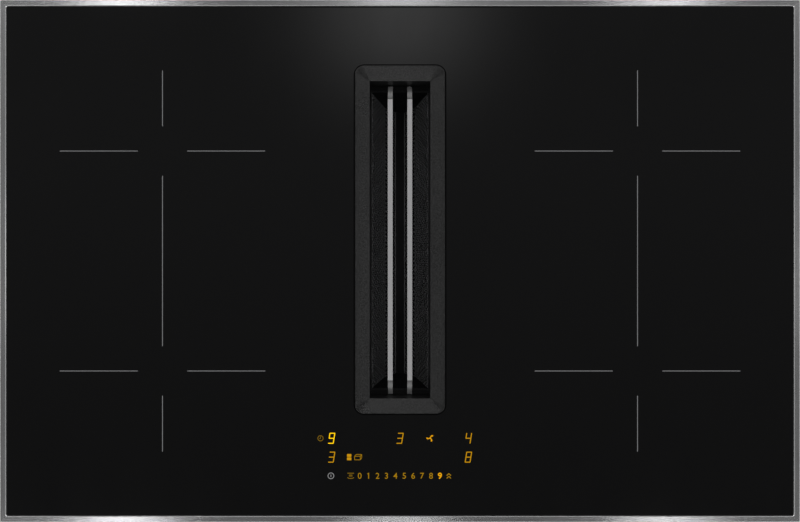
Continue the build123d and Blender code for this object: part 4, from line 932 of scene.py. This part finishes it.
@dataclass
class TouchPanel:
    """Lit digits, symbols and touch numbers under the front of the glass.

    Attributes:
        digit_overlap: How far a segment runs past its corner, as a share of its width.
        digit_slant: How far a digit leans for each unit of its height.
        flag_drops: How far below the top of the 1 its flag starts and ends.
        sweep: Run of a fan blade's tip in millimetres, across the blade and along it.
        top: Height of the glass, once it is known.
    """

    digit_size: Pair = (5.8 * MM, 11.0 * MM)
    digit_stroke: float = 0.90 * MM
    digit_overlap: float = 0.35
    digit_slant: float = 0.16
    module_inset: Pair = (6.0 * MM, 7.0 * MM)
    key_size: float = 8.5 * MM
    key_boldness: float = 0.06 * MM
    set_key_boldness: float = 0.22 * MM
    key_pitch: float = 8.98 * MM
    key_inset: float = 2.4 * MM
    flag_drops: Pair = (0.35 * MM, 1.35 * MM)
    flag_reach: float = 1.45 * MM
    flag_width: float = 0.65 * MM
    keep_warm_gap: float = 9.1 * MM
    timer_gap: float = 11.2 * MM
    fan_x: float = 30.4 * MM
    fan_rise: float = 0.3 * MM
    joined_zones_x: float = -51.2 * MM
    pan_x: float = -42.2 * MM
    blade_angles: tuple[float, ...] = (60.0, 200.0, 310.0)
    blade_size: Pair = (2.6 * MM, 1.0 * MM)
    sweep: Pair = (1.6, 0.6)
    sweep_lap: float = 0.3 * MM
    sweep_width: float = 1.3 * MM
    top: float = 0.0

    KEYS = "0123456789"
    SET_KEY = "9"
    SEGMENTS = {"3": "abgcd", "4": "fgbc", "8": "abcdefg", "9": "abcdfg"}

    def build(self) -> None:
        """Make every symbol and give it its light."""
        self.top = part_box("glass_top")[1].z
        low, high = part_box("digit_modules")
        inset_x, inset_y = self.module_inset
        left, right = low.x + inset_x, high.x - inset_x
        front, rear = low.y + inset_y, high.y - inset_y
        keys_low, keys_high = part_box("touch_springs")
        row = middle("touch_springs").y
        last = keys_high.x - self.key_inset
        first = last - self.key_pitch * len(self.KEYS)
        lit = [
            (self._digit("9", left, rear, "digit_rear_left"), Light.YELLOW),
            (self._digit("3", left, front, "digit_front_left"), Light.AMBER),
            (self._digit("3", 0.0, rear, "digit_fan"), Light.AMBER),
            (self._digit("4", right, rear, "digit_rear_right"), Light.AMBER),
            (self._digit("8", right, front, "digit_front_right"), Light.AMBER),
        ]
        for index, value in enumerate(self.KEYS):
            light = Light.ORANGE if value == self.SET_KEY else Light.SOFT_AMBER
            lit.append((self._number(value, first + index * self.key_pitch, row), light))
        lit += [
            (self._symbol("boost", last, row), Light.SOFT_AMBER),
            (self._symbol("power", keys_low.x + self.key_inset, row), Light.WHITE),
            (self._symbol("keep_warm", first - self.keep_warm_gap, row), Light.FAINT_AMBER),
            (self._symbol("timer", left - self.timer_gap, rear), Light.FAINT_AMBER),
            (self._fan(self.fan_x, rear + self.fan_rise), Light.ORANGE),
            (self._symbol("joined_zones", self.joined_zones_x, front), Light.AMBER),
            (self._symbol("pan", self.pan_x, front), Light.SOFT_AMBER),
        ]
        finishes = {}
        for light in Light:
            glow, strength = light.value
            name = f"lit_{light.name.lower()}"
            lamp = LitSymbol(name, (0.004, 0.003, 0.001), glow=glow, strength=strength)
            finishes[light] = lamp.make()
        for piece, light in lit:
            Bench.dress(piece, finishes[light], "ceramic_glass", "root")

    def _digit(self, glyph: str, x: float, y: float, name: str) -> Object:
        """A slanted seven-segment digit.

        Args:
            glyph: Number that it shows.
            x: Middle along X.
            y: Middle along Y.
            name: Name of the piece.

        Returns:
            The digit.
        """
        w, h = ((side - self.digit_stroke) / 2 for side in self.digit_size)
        ends = {
            "a": ((-w, h), (w, h)),
            "b": ((w, h), (w, 0.0)),
            "c": ((w, 0.0), (w, -h)),
            "d": ((-w, -h), (w, -h)),
            "e": ((-w, 0.0), (-w, -h)),
            "f": ((-w, h), (-w, 0.0)),
            "g": ((-w, 0.0), (w, 0.0)),
        }
        bars = []
        for segment in self.SEGMENTS[glyph]:
            start, end = (Vector(point) for point in ends[segment])
            grow = (end - start).normalized() * self.digit_stroke * self.digit_overlap
            bars.append(Bench.stroke(start - grow, end + grow, self.digit_stroke, self.top))
        digit = Bench.weld(bars, name)
        slant = Matrix.Identity(4)
        slant[0][1] = self.digit_slant
        digit.data.transform(Matrix.Translation((x, y, 0.0)) @ slant)
        return digit

    def _number(self, text: str, x: float, y: float) -> Object:
        """A touch number in plain type. The 1 gets a flag, which the typeface leaves out.

        Args:
            text: Number to write.
            x: Middle along X.
            y: Middle along Y.

        Returns:
            The number as a mesh.
        """
        Bench.pick()
        bpy.ops.object.text_add()
        type_data = bpy.context.object.data
        type_data.body = text
        type_data.size = self.key_size
        type_data.offset = self.set_key_boldness if text == self.SET_KEY else self.key_boldness
        type_data.extrude = INK_HEIGHT / 2
        type_data.resolution_u = 4
        type_data.align_x = type_data.align_y = "CENTER"
        bpy.ops.object.convert(target="MESH")
        number = bpy.context.object
        low, high = Vector(number.bound_box[0]), Vector(number.bound_box[6])
        shift = Vector((x, y, self.top + INK_HEIGHT / 2)) - (low + high) / 2
        number.data.transform(Matrix.Translation(shift))
        with Bench.editing(number, whole=True):
            bpy.ops.mesh.remove_doubles(threshold=1.0e-6)
        strokes = [number]
        if text == "1":
            tip = y + (high.y - low.y) / 2
            start, end = (tip - drop for drop in self.flag_drops)
            flag = ((x, start), (x - self.flag_reach, end))
            strokes.append(Bench.stroke(*flag, self.flag_width, self.top))
        return Bench.weld(strokes, f"key_number_{text}")

    def _symbol(self, name: str, x: float, y: float) -> Object:
        """A symbol of the sketch table.

        Args:
            name: Its name in the table.
            x: Middle along X.
            y: Middle along Y.

        Returns:
            The symbol.
        """
        sketch = SKETCHES[name]
        strokes = []
        if sketch.ring:
            radius, width = (size * MM for size in sketch.ring)
            disc = {"vertices": 32, "radius": radius, "location": (x, y, self.top)}
            ring = Bench.fresh(bpy.ops.mesh.primitive_circle_add, fill_type="NGON", **disc)
            Bench.raise_frame(ring, width, INK_HEIGHT)
            strokes.append(ring)
        for x0, y0, x1, y1 in sketch.strokes:
            start, end = (x + x0 * MM, y + y0 * MM), (x + x1 * MM, y + y1 * MM)
            strokes.append(Bench.stroke(start, end, sketch.width * MM, self.top, sketch.corner))
        return Bench.weld(strokes, f"symbol_{name}")

    def _fan(self, x: float, y: float) -> Object:
        """Fan symbol: blades about a hub, each with a swept tip.

        Args:
            x: Middle along X.
            y: Middle along Y.

        Returns:
            The symbol.
        """
        hub = Vector((x, y))
        length, width = self.blade_size
        blades = []
        for angle in self.blade_angles:
            out = Vector((math.cos(math.radians(angle)), math.sin(math.radians(angle))))
            across = Vector((out.y, -out.x))
            tip = hub + out * length
            swept = tip + (across * self.sweep[0] + out * self.sweep[1]) * MM
            start = tip - across * self.sweep_lap
            blades.append(Bench.stroke(hub, tip, width, self.top))
            blades.append(Bench.stroke(start, swept, self.sweep_width, self.top))
        return Bench.weld(blades, "symbol_fan")


@dataclass
class FilterMesh:
    """Expanded-metal walls of the lift-out grease filter."""

    along_well: float = 4.8 * MM
    down_wall: float = 13.0 * MM
    strand: float = 1.4 * MM
    merge: float = 0.15 * MM
    sheet: float = 1.2 * MM
    knee_z: float = -120.0 * MM
    knee_half: float = 17.0 * MM

    def build(self) -> None:
        """Make both walls and let them stand for the plain sheets."""
        finish = Surface(
            "filter_mesh_steel",
            (0.40, 0.40, 0.41),
            0.42,
            metallic=0.5,
            grain=BRUSHED_Y,
            shades=(0.88, 1.0),
            swing=0.03,
            relief=1.2e-6,
        )
        steel = finish.make()
        for side, turn in (("left", -1), ("right", 1)):
            wall = self._wall(f"filter_mesh_{side}", turn)
            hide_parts(f"filter_mesh_{side}")
            Bench.dress(wall, steel, "filter_steel", "grease_filter")

    def _wall(self, node: str, turn: int) -> Object:
        """One wall: a flat sheet of diamonds, folded at the knee and kept in the plain sheet's box.

        Args:
            node: CAD node that the wall stands for.
            turn: -1 on the left and 1 on the right.

        Returns:
            The wall.
        """
        low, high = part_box(node)
        inner, outer = sorted((turn * low.x, turn * high.x))
        top = Vector((outer - self.sheet / 2, high.z))
        knee = Vector((self.knee_half + self.sheet / 2, self.knee_z))
        foot = Vector((inner + self.sheet / 2, low.z))
        wall = self._diamonds(high.y - low.y, (top - knee).length, (knee - foot).length)
        above, below = (top - knee).normalized(), (knee - foot).normalized()
        for vertex in wall.data.vertices:
            across, along, _ = vertex.co
            point = knee + (above if across > 0 else below) * across
            vertex.co = (turn * point.x, (low.y + high.y) / 2 + along, point.y)
        Bench.modify(
            wall, "WIREFRAME", thickness=self.strand, use_even_offset=False, use_boundary=True
        )
        Bench.face_out(wall)
        for vertex in wall.data.vertices:
            vertex.co.y = min(max(vertex.co.y, low.y), high.y)
            vertex.co.z = min(max(vertex.co.z, low.z), high.z)
        return Bench.settle(wall, f"{node}_expanded")

    def _diamonds(self, length: float, upper: float, lower: float) -> Object:
        """A flat grid of diamond cells, trimmed to the wall's size and parted at the knee.

        Args:
            length: Length along Y.
            upper: Width above the knee, along +X.
            lower: Width below the knee, along -X.

        Returns:
            The flat grid, with its knee on x = 0.
        """
        count = math.ceil(length / self.along_well + (upper + lower) / self.down_wall) + 2
        cells = {"x_subdivisions": count, "y_subdivisions": count, "size": count}
        grid = Bench.fresh(bpy.ops.mesh.primitive_grid_add, **cells)
        root = math.sqrt(0.5)
        grid.data.transform(
            Matrix.Translation(((upper - lower) / 2, 0.0, 0.0))
            @ Matrix.Diagonal((self.down_wall * root, self.along_well * root, 1.0, 1.0))
            @ Matrix.Rotation(math.pi / 4, 4, "Z")
        )
        cuts = (
            ((upper, 0.0, 0.0), (1.0, 0.0, 0.0), True),
            ((-lower, 0.0, 0.0), (-1.0, 0.0, 0.0), True),
            ((0.0, length / 2, 0.0), (0.0, 1.0, 0.0), True),
            ((0.0, -length / 2, 0.0), (0.0, -1.0, 0.0), True),
            ((0.0, 0.0, 0.0), (1.0, 0.0, 0.0), False),
        )
        with Bench.editing(grid):
            for point, normal, trims in cuts:
                bpy.ops.mesh.select_all(action="SELECT")
                bpy.ops.mesh.bisect(plane_co=point, plane_no=normal, clear_outer=trims)
            bpy.ops.mesh.select_all(action="SELECT")
            bpy.ops.mesh.remove_doubles(threshold=self.merge)
            bpy.ops.mesh.delete_loose()
        return grid


@dataclass
class ClampScrews:
    """Threaded screws of the four clamps, each with a six-sided socket in its head.

    Attributes:
        head_round: Bevel of the head, as a share of its height.
        flank: Half the height of the thread's foot, as a share of the pitch.
        foot: Radius of the thread's foot, as a share of the core's.
        steps: Sides of the core, and steps of one turn of the thread.
        smooth_below: Angle in degrees below which edges are shaded smooth.
    """

    root_radius: float = 2.05 * MM
    crest_radius: float = 2.5 * MM
    head_radius: float = 4.5 * MM
    head_height: float = 3.0 * MM
    head_round: float = 0.15
    socket_radius: float = 2.5 * MM
    socket_depth: float = 2.0 * MM
    head_sides: int = 24
    pitch: float = 1.0 * MM
    flank: float = 0.42
    foot: float = 0.9
    steps: int = 16
    smooth_below: float = 30.0

    def build(self) -> None:
        """Make one screw and set a copy into each clamp."""
        low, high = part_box("clamp_screws")
        pattern = self._screw(low.z, high.z)
        places = [self._place(corner) for corner in CORNERS]
        screws = Bench.copies(pattern, places, "clamp_screws_threaded")
        Bench.smooth(screws, self.smooth_below)
        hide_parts("clamp_screws")
        grain = Pattern(700.0, motif=Motif.CELL_TONES)
        tint = (0.60, 0.60, 0.57)
        zinc = ZincSheet("zinc_screw_steel", tint, 0.30, grain=grain, shades=(0.95, 1.05))
        Bench.dress(screws, zinc.make(), "zinc_steel", "root")

    @staticmethod
    def _place(corner: str) -> Matrix:
        """Where a clamp's screw stands, from the arm that turns on it.

        Args:
            corner: Name of the clamp.

        Returns:
            Shift to the screw's axis.
        """
        low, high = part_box(f"clamp_arm_{corner}")
        half_width = (high.y - low.y) / 2
        x = low.x + half_width if corner.startswith("rear") else high.x - half_width
        return Matrix.Translation((x, (low.y + high.y) / 2, 0.0))

    def _screw(self, low: float, high: float) -> Object:
        """One screw on the Z axis, with its head below.

        Args:
            low: Underside of the head.
            high: Top of the shank.

        Returns:
            The screw.
        """
        seat = low + self.head_height
        core = Bench.rod(self.steps, self.root_radius, high - seat, (high + seat) / 2)
        head = Bench.rod(self.head_sides, self.head_radius, self.head_height, (low + seat) / 2)
        with Bench.editing(head):
            Bench.pick_faces(head, -0.9)
            bpy.ops.mesh.bevel(offset=self.head_height * self.head_round, segments=2)
        socket = Bench.rod(6, self.socket_radius, 2 * self.socket_depth, low)
        Bench.modify(head, "BOOLEAN", operation="DIFFERENCE", object=socket)
        bpy.data.objects.remove(socket)
        return Bench.weld([core, head, self._thread(seat, high)], "clamp_screw")

    def _thread(self, low: float, high: float) -> Object:
        """Helical ridge, swept from a triangle that stands on the core.

        Args:
            low: Lower end of the thread.
            high: Upper end of the thread.

        Returns:
            The ridge.
        """
        half, foot = self.pitch * self.flank, self.root_radius * self.foot
        circle = bpy.ops.mesh.primitive_circle_add
        ridge = Bench.fresh(circle, vertices=3, radius=1.0, fill_type="NOTHING")
        corners = ((self.crest_radius, 0.0), (foot, half), (foot, -half))
        for vertex, (radius, rise) in zip(ridge.data.vertices, corners, strict=True):
            vertex.co = (radius, 0.0, low + half + rise)
        Bench.modify(
            ridge,
            "SCREW",
            steps=self.steps,
            render_steps=self.steps,
            angle=2 * math.pi,
            screw_offset=self.pitch,
            iterations=int((high - low - 2 * half) / self.pitch),
            use_merge_vertices=False,
        )
        with Bench.editing(ridge, whole=True):
            bpy.ops.mesh.remove_doubles(threshold=1.0e-6)
            bpy.ops.mesh.select_mode(type="EDGE")
            bpy.ops.mesh.select_all(action="DESELECT")
            bpy.ops.mesh.select_non_manifold()
            bpy.ops.mesh.fill()
        Bench.face_out(ridge)
        return ridge


@dataclass
class Fasteners:
    """Pan-head screws of the base tray and of the terminal box's lid.

    Attributes:
        head_round: Bevel of the head, as a share of its height.
        head_rim: Width of the rim round the recess, as a share of the head's radius.
        tray_scale: Size of the tray's screws, as a share of a whole head.
        lid_scale: Size of the lid's screws, as a share of a whole head.
        smooth_below: Angle in degrees below which edges are shaded smooth.
    """

    head_sides: int = 18
    head_radius: float = 3.6 * MM
    head_height: float = 2.2 * MM
    head_round: float = 0.45
    head_rim: float = 0.14
    recess_depth: float = 1.2 * MM
    tray_scale: float = 0.55
    lid_scale: float = 0.8
    smooth_below: float = 35.0
    tray_z: float = -4.0 * MM
    side_places: tuple[float, ...] = (-0.17, -0.06, 0.06, 0.17)
    front_places: tuple[float, ...] = (-0.24, -0.08, 0.08, 0.24)
    rear_places: tuple[float, ...] = (-0.24, -0.16, 0.16, 0.24)
    lid_inset: float = 8.0 * MM

    def build(self) -> None:
        """Set the screws into the tray's walls and into the lid."""
        low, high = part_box("base_tray")
        walls = ((Facing.LEFT, low.x), (Facing.RIGHT, high.x))
        tray = [(side, (x, y, self.tray_z)) for side, x in walls for y in self.side_places]
        tray += [(Facing.FRONT, (x, low.y, self.tray_z)) for x in self.front_places]
        tray += [(Facing.REAR, (x, high.y, self.tray_z)) for x in self.rear_places]
        low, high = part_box("terminal_lid")
        columns, rows = (
            (low[axis] + self.lid_inset, high[axis] - self.lid_inset) for axis in (0, 1)
        )
        lid = [(Facing.DOWN, (x, y, low.z)) for x in columns for y in rows]
        grain = Pattern(900.0, motif=Motif.CELL_TONES)
        tint = (0.58, 0.58, 0.56)
        zinc = ZincSheet("zinc_screws", tint, 0.34, grain=grain, shades=(0.95, 1.05)).make()
        sets = (
            ("tray_screws", tray, self.tray_scale),
            ("terminal_lid_screws", lid, self.lid_scale),
        )
        for name, places, scale in sets:
            size = Matrix.Scale(scale, 4)
            spots = [Matrix.Translation(at) @ facing.turn() @ size for facing, at in places]
            screws = Bench.copies(self._head(), spots, name)
            Bench.smooth(screws, self.smooth_below)
            Bench.dress(screws, zinc, "zinc_steel", "root")

    def _head(self) -> Object:
        """One screw head on z = 0: a rounded pan with a recess.

        Returns:
            The head.
        """
        middle_z = self.head_height / 2
        head = Bench.rod(self.head_sides, self.head_radius, self.head_height, middle_z)
        with Bench.editing(head):
            Bench.pick_faces(head, 0.9)
            bpy.ops.mesh.bevel(offset=self.head_height * self.head_round, segments=3)
            Bench.pick_faces(head, 0.99)
            bpy.ops.mesh.inset(thickness=self.head_radius * self.head_rim)
            sink = (0.0, 0.0, -self.recess_depth)
            bpy.ops.mesh.extrude_region_move(TRANSFORM_OT_translate={"value": sink})
        return head


@dataclass
class CadFinishes:
    """Procedural finish of every CAD node."""

    nodes: dict[str, Object]

    def build(self) -> None:
        """Make each finish once and give it to its nodes."""
        for finish, nodes in self._table():
            material = finish.make()
            for node in nodes.split():
                self.nodes[node].data.materials.clear()
                self.nodes[node].data.materials.append(material)
                LOG.info("%s: CAD node in %s", node, finish.name)

    @staticmethod
    def _table() -> list[tuple[Surface, str]]:
        """Every finish, with the names of its CAD nodes.

        Returns:
            Pairs of a finish and its nodes.
        """
        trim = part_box("trim_frame")[1]
        mitre_half = (trim.x - TRIM_BAND, trim.y - TRIM_BAND)
        coils, arms = (
            " ".join(f"{node}_{corner}" for corner in CORNERS) for node in ("coil", "clamp_arm")
        )
        return [
            (
                TrimSteel(
                    "trim_steel",
                    (0.50, 0.50, 0.505),
                    0.25,
                    metallic=1.0,
                    shades=(0.88, 1.0),
                    swing=0.03,
                    relief=1.2e-6,
                    mitre_half=mitre_half,
                ),
                "trim_frame",
            ),
            (
                BarSteel(
                    "bar_steel",
                    (0.395, 0.395, 0.40),
                    metallic=0.6,
                    grain=BRUSHED_Y,
                    shades=(0.85, 1.0),
                    relief=2.0e-6,
                    centre_y=middle("bar_cap_left").y,
                ),
                "bar_cap_left bar_cap_right",
            ),
            (
                Surface(
                    "ceramic_glass_black",
                    (0.0010, 0.0010, 0.0011),
                    0.10,
                    0.40,
                    grain=Pattern(9.0, 4.0),
                    shades=(1.0, 1.25),
                    wear=Pattern(30.0, 5.0, 0.6, (1.0, 0.35, 1.0)),
                    wear_span=(0.35, 0.65),
                    swing=0.012,
                ),
                "glass_top",
            ),
            (
                MouldedPlastic(
                    "cover_satin_black",
                    (0.007, 0.007, 0.0071),
                    0.30,
                    0.34,
                    grain=Pattern(700.0, 2.0, 0.6),
                    shades=(0.05, 1.95),
                    relief=1.0e-4,
                ),
                "cover_frame",
            ),
            (
                MouldedPlastic("moulding_black", (0.004, 0.004, 0.0042), 0.6, 0.15),
                "well drip_tray display_frame carrier_posts",
            ),
            (
                MouldedPlastic(
                    "housing_charcoal",
                    (0.045, 0.046, 0.049),
                    0.58,
                    0.45,
                    grain=Pattern(900.0, 2.0, 0.6),
                    shades=(0.9, 1.1),
                    relief=4.0e-5,
                ),
                "housing_shell housing_lid outlet_duct terminal_box terminal_lid",
            ),
            (
                MouldedPlastic("blower_grey", (0.13, 0.133, 0.14)),
                "scroll_base scroll_cover blower_wheel",
            ),
            (
                MouldedPlastic("fan_black", (0.018, 0.018, 0.019), 0.42),
                "fan_frames fan_rotor_left fan_rotor_right cable_gland",
            ),
            (
                MouldedPlastic("component_black", (0.02, 0.02, 0.021), 0.4, shades=(0.8, 1.2)),
                "power_switches capacitors digit_modules",
            ),
            (MouldedPlastic("terminal_ivory", (0.62, 0.60, 0.54), 0.48), "terminal_block"),
            (ZincSheet("galvanised_sheet", (0.50, 0.52, 0.53), 0.42), "base_tray"),
            (
                ZincSheet(
                    "zinc_plate",
                    (0.60, 0.60, 0.585),
                    0.33,
                    grain=Pattern(260.0, motif=Motif.CELL_TONES),
                    shades=(0.94, 1.06),
                ),
                f"clamp_brackets clamp_screws motor_plate {arms}",
            ),
            (
                ZincSheet(
                    "filter_frame_steel",
                    (0.030, 0.030, 0.031),
                    grain=Pattern(300.0, motif=Motif.CELL_TONES),
                    shades=(0.95, 1.05),
                ),
                "filter_frame filter_mesh_left filter_mesh_right",
            ),
            (
                Rubber("seal_rubber", (0.010, 0.010, 0.010)),
                "edge_seal worktop_gasket well_seal blower_dampers",
            ),
            (Winding("coil_winding", (0.55, 0.24, 0.11)), coils),
            (
                Ceramic("ferrite_grey", (0.035, 0.035, 0.038), speck=(0.055, 0.055, 0.06)),
                "ferrite_bars",
            ),
            (
                Ceramic(
                    "mica_sheet",
                    (0.42, 0.36, 0.26),
                    0.5,
                    lift=Pattern(260.0, motif=Motif.CELL_CENTRES),
                    speck=(0.52, 0.46, 0.36),
                ),
                "coil_insulation",
            ),
            (
                Ceramic(
                    "sensor_ceramic",
                    (0.70, 0.70, 0.68),
                    0.4,
                    lift=Pattern(900.0, motif=Motif.CELL_CENTRES),
                    speck=(0.62, 0.62, 0.60),
                ),
                "coil_sensors",
            ),
            (
                CircuitBoard("circuit_board_green", (0.010, 0.075, 0.030)),
                "power_board_left power_board_right mains_filter_board blower_board display_board",
            ),
            (
                CutMetal("aluminium_extruded", (0.72, 0.73, 0.74)),
                "heat_sink_left heat_sink_right coil_carriers",
            ),
            (CutMetal("motor_steel", (0.34, 0.34, 0.35), 0.34), "motor_rotor motor_stator"),
            (CutMetal("bearing_steel", (0.68, 0.68, 0.69), 0.16), "motor_bearings"),
            (CutMetal("spring_steel", (0.62, 0.61, 0.58), 0.22), "touch_springs"),
            (CutMetal("choke_copper", (0.58, 0.27, 0.13), 0.3), "chokes"),
        ]


@dataclass(frozen=True)
class SoftBox:
    """One soft lamp that faces the middle of the cooktop."""

    name: str
    at: Place
    size: Pair
    power: float

    def hang(self) -> None:
        """Add the lamp to the scene."""
        lamp = bpy.data.lights.new(self.name, "AREA")
        lamp.shape = "RECTANGLE"
        lamp.size, lamp.size_y = self.size
        lamp.energy = self.power
        holder = bpy.data.objects.new(self.name, lamp)
        holder.visible_camera = False
        bpy.context.scene.collection.objects.link(holder)
        holder.location = self.at
        holder.rotation_euler = Vector(self.at).to_track_quat("Z", "Y").to_euler()


@dataclass
class Studio:
    """Camera, lamps, sky and floor.

    Attributes:
        even_light: Strength of the light that matt surfaces get from all round.
        horizon_tone: Brightness of the backdrop at the horizon.
        zenith_tone: Brightness of the backdrop overhead.
        tone_heights: Heights of view where the backdrop starts and ends to dim.
        front_dimming: Share by which the sky overhead is dimmer towards the front.
        dimming_depths: Directions along Y of the full dimming and of none.
        dimming_heights: Heights of view of no dimming and of the full one.
        glow_towards: Direction of a soft bright patch, which the glass mirrors at its rear edge.
        glow_tightness: Power that narrows the patch.
        strips: Name, place along X, and power at the rear and at the front, of the small lamps.
    """

    eye_height: float = 0.850
    sensor: float = 36.0
    even_light: float = 0.70
    horizon_tone: float = 0.92
    zenith_tone: float = 0.185
    tone_heights: Pair = (0.25, 0.88)
    front_dimming: float = 0.42
    dimming_depths: Pair = (-0.30, 0.12)
    dimming_heights: Pair = (0.78, 0.86)
    glow_towards: Place = (0.0, 0.296, 0.955)
    glow_strength: float = 1.1
    glow_tightness: float = 245.0
    floor_half: float = 40.0
    corner_at: Place = (3.93, 3.30, 3.10)
    corner_size: Pair = (2.0, 2.0)
    corner_powers: Pair = (40.0, 44.0)
    side_at: Place = (2.20, 0.0, 0.90)
    side_size: Pair = (0.5, 1.8)
    side_powers: Pair = (0.8, 2.4)
    strip_size: Pair = (0.25, 0.30)
    strip_height: float = 1.70
    strip_depth: float = 1.14
    strips: tuple[tuple[str, float, float, float], ...] = (
        ("left", -0.884, 2.6, 2.7),
        ("middle", 0.0, 0.8, 1.15),
        ("right", 0.841, 1.95, 2.0),
    )

    def build(self) -> None:
        """Set up the camera, the lamps, the sky and the floor."""
        bpy.context.scene.view_settings.view_transform = "Standard"
        self._camera()
        for lamp in self._lamps():
            lamp.hang()
        self._sky()
        self._floor()

    def _camera(self) -> None:
        """Look straight down, with the trim filling the image."""
        low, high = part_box("trim_frame")
        data = bpy.data.cameras.new("camera")
        data.sensor_width = self.sensor
        data.lens = self.sensor * self.eye_height / (high.x - low.x)
        data.clip_start = 0.05
        camera = bpy.data.objects.new("camera", data)
        bpy.context.scene.collection.objects.link(camera)
        camera.location = (0.0, 0.0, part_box("glass_top")[1].z + self.eye_height)
        bpy.context.scene.camera = camera

    def _lamps(self) -> list[SoftBox]:
        """Corner lamps, side lamps, and small lamps that show on the front and rear trim.

        Returns:
            All the lamps.
        """
        lamps = []
        rows = (("rear", 1), ("front", -1))
        for index, (name, side) in enumerate((("left", -1), ("right", 1))):
            x, y, z = self.corner_at
            power = self.corner_powers[index]
            for row, depth in rows:
                at = (side * x, depth * y, z)
                lamps.append(SoftBox(f"corner_{row}_{name}", at, self.corner_size, power))
            x, y, z = self.side_at
            power = self.side_powers[index]
            lamps.append(SoftBox(f"side_{name}", (side * x, y, z), self.side_size, power))
        for index, (row, depth) in enumerate(rows):
            for name, x, *powers in self.strips:
                at = (x, depth * self.strip_depth, self.strip_height)
                lamps.append(SoftBox(f"strip_{row}_{name}", at, self.strip_size, powers[index]))
        return lamps

    def _sky(self) -> None:
        """Even light, and a backdrop that is white at the horizon and dim overhead."""
        world = bpy.data.worlds.new("surroundings")
        bpy.context.scene.world = world
        world.use_nodes = True
        graph = NodeGraph(world.node_tree)
        towards = graph.add("ShaderNodeTexCoord").outputs["Generated"]
        axes = graph.add("ShaderNodeSeparateXYZ", {"Vector": towards}).outputs
        tones = (self.horizon_tone, self.zenith_tone)
        tone = graph.spread(axes["Z"], self.tone_heights, tones)
        dim = graph.spread(axes["Y"], self.dimming_depths, (self.front_dimming, 0.0))
        steep = graph.spread(axes["Z"], self.dimming_heights, (0.0, 1.0))
        kept = graph.maths("SUBTRACT", 1.0, graph.maths("MULTIPLY", dim, steep))
        aims = {0: towards, 1: self.glow_towards}
        aim = graph.add("ShaderNodeVectorMath", aims, operation="DOT_PRODUCT").outputs["Value"]
        patch = graph.maths("POWER", graph.maths("MAXIMUM", aim, 0.0), self.glow_tightness)
        lit = graph.maths("MULTIPLY", patch, self.glow_strength)
        backdrop = graph.maths("ADD", graph.maths("MULTIPLY", tone, kept), lit)
        even, seen = (
            graph.add("ShaderNodeBackground", {"Color": WHITE, "Strength": strength}).outputs[0]
            for strength in (self.even_light, backdrop)
        )
        path = graph.add("ShaderNodeLightPath").outputs
        direct = graph.maths("MAXIMUM", path["Is Camera Ray"], path["Is Transmission Ray"])
        direct = graph.maths("MAXIMUM", direct, path["Is Glossy Ray"])
        mix = graph.add("ShaderNodeMixShader", {"Fac": direct, 1: even, 2: seen})
        graph.add("ShaderNodeOutputWorld", {"Surface": mix.outputs["Shader"]})

    def _floor(self) -> None:
        """Lay a pale floor under the extractor housing."""
        at = (0.0, 0.0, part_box("housing_shell")[0].z)
        plane = bpy.ops.mesh.primitive_plane_add
        floor = Bench.fresh(plane, size=2 * self.floor_half, location=at)
        Bench.settle(floor, "studio_floor")
        paper = FloorPaper(
            "floor_pale", (0.80, 0.80, 0.79), 0.75, 0.1, grain=Pattern(30.0), shades=(0.98, 1.0)
        )
        floor.data.materials.append(paper.make())
        LOG.info("%s: scenery", floor.name)


def main() -> None:
    """Load the frame, then build the studio and every sub-assembly in order."""
    logging.basicConfig(level=logging.INFO, format="%(name)s: %(message)s")
    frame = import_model()
    for part in (
        Studio(),
        CadFinishes(frame["nodes"]),
        GlassJoint(),
        ZoneMarks(),
        TouchPanel(),
        FilterMesh(),
        ClampScrews(),
        Fasteners(),
    ):
        LOG.info("%s", type(part).__name__)
        part.build()


if __name__ == "__main__":
    main()
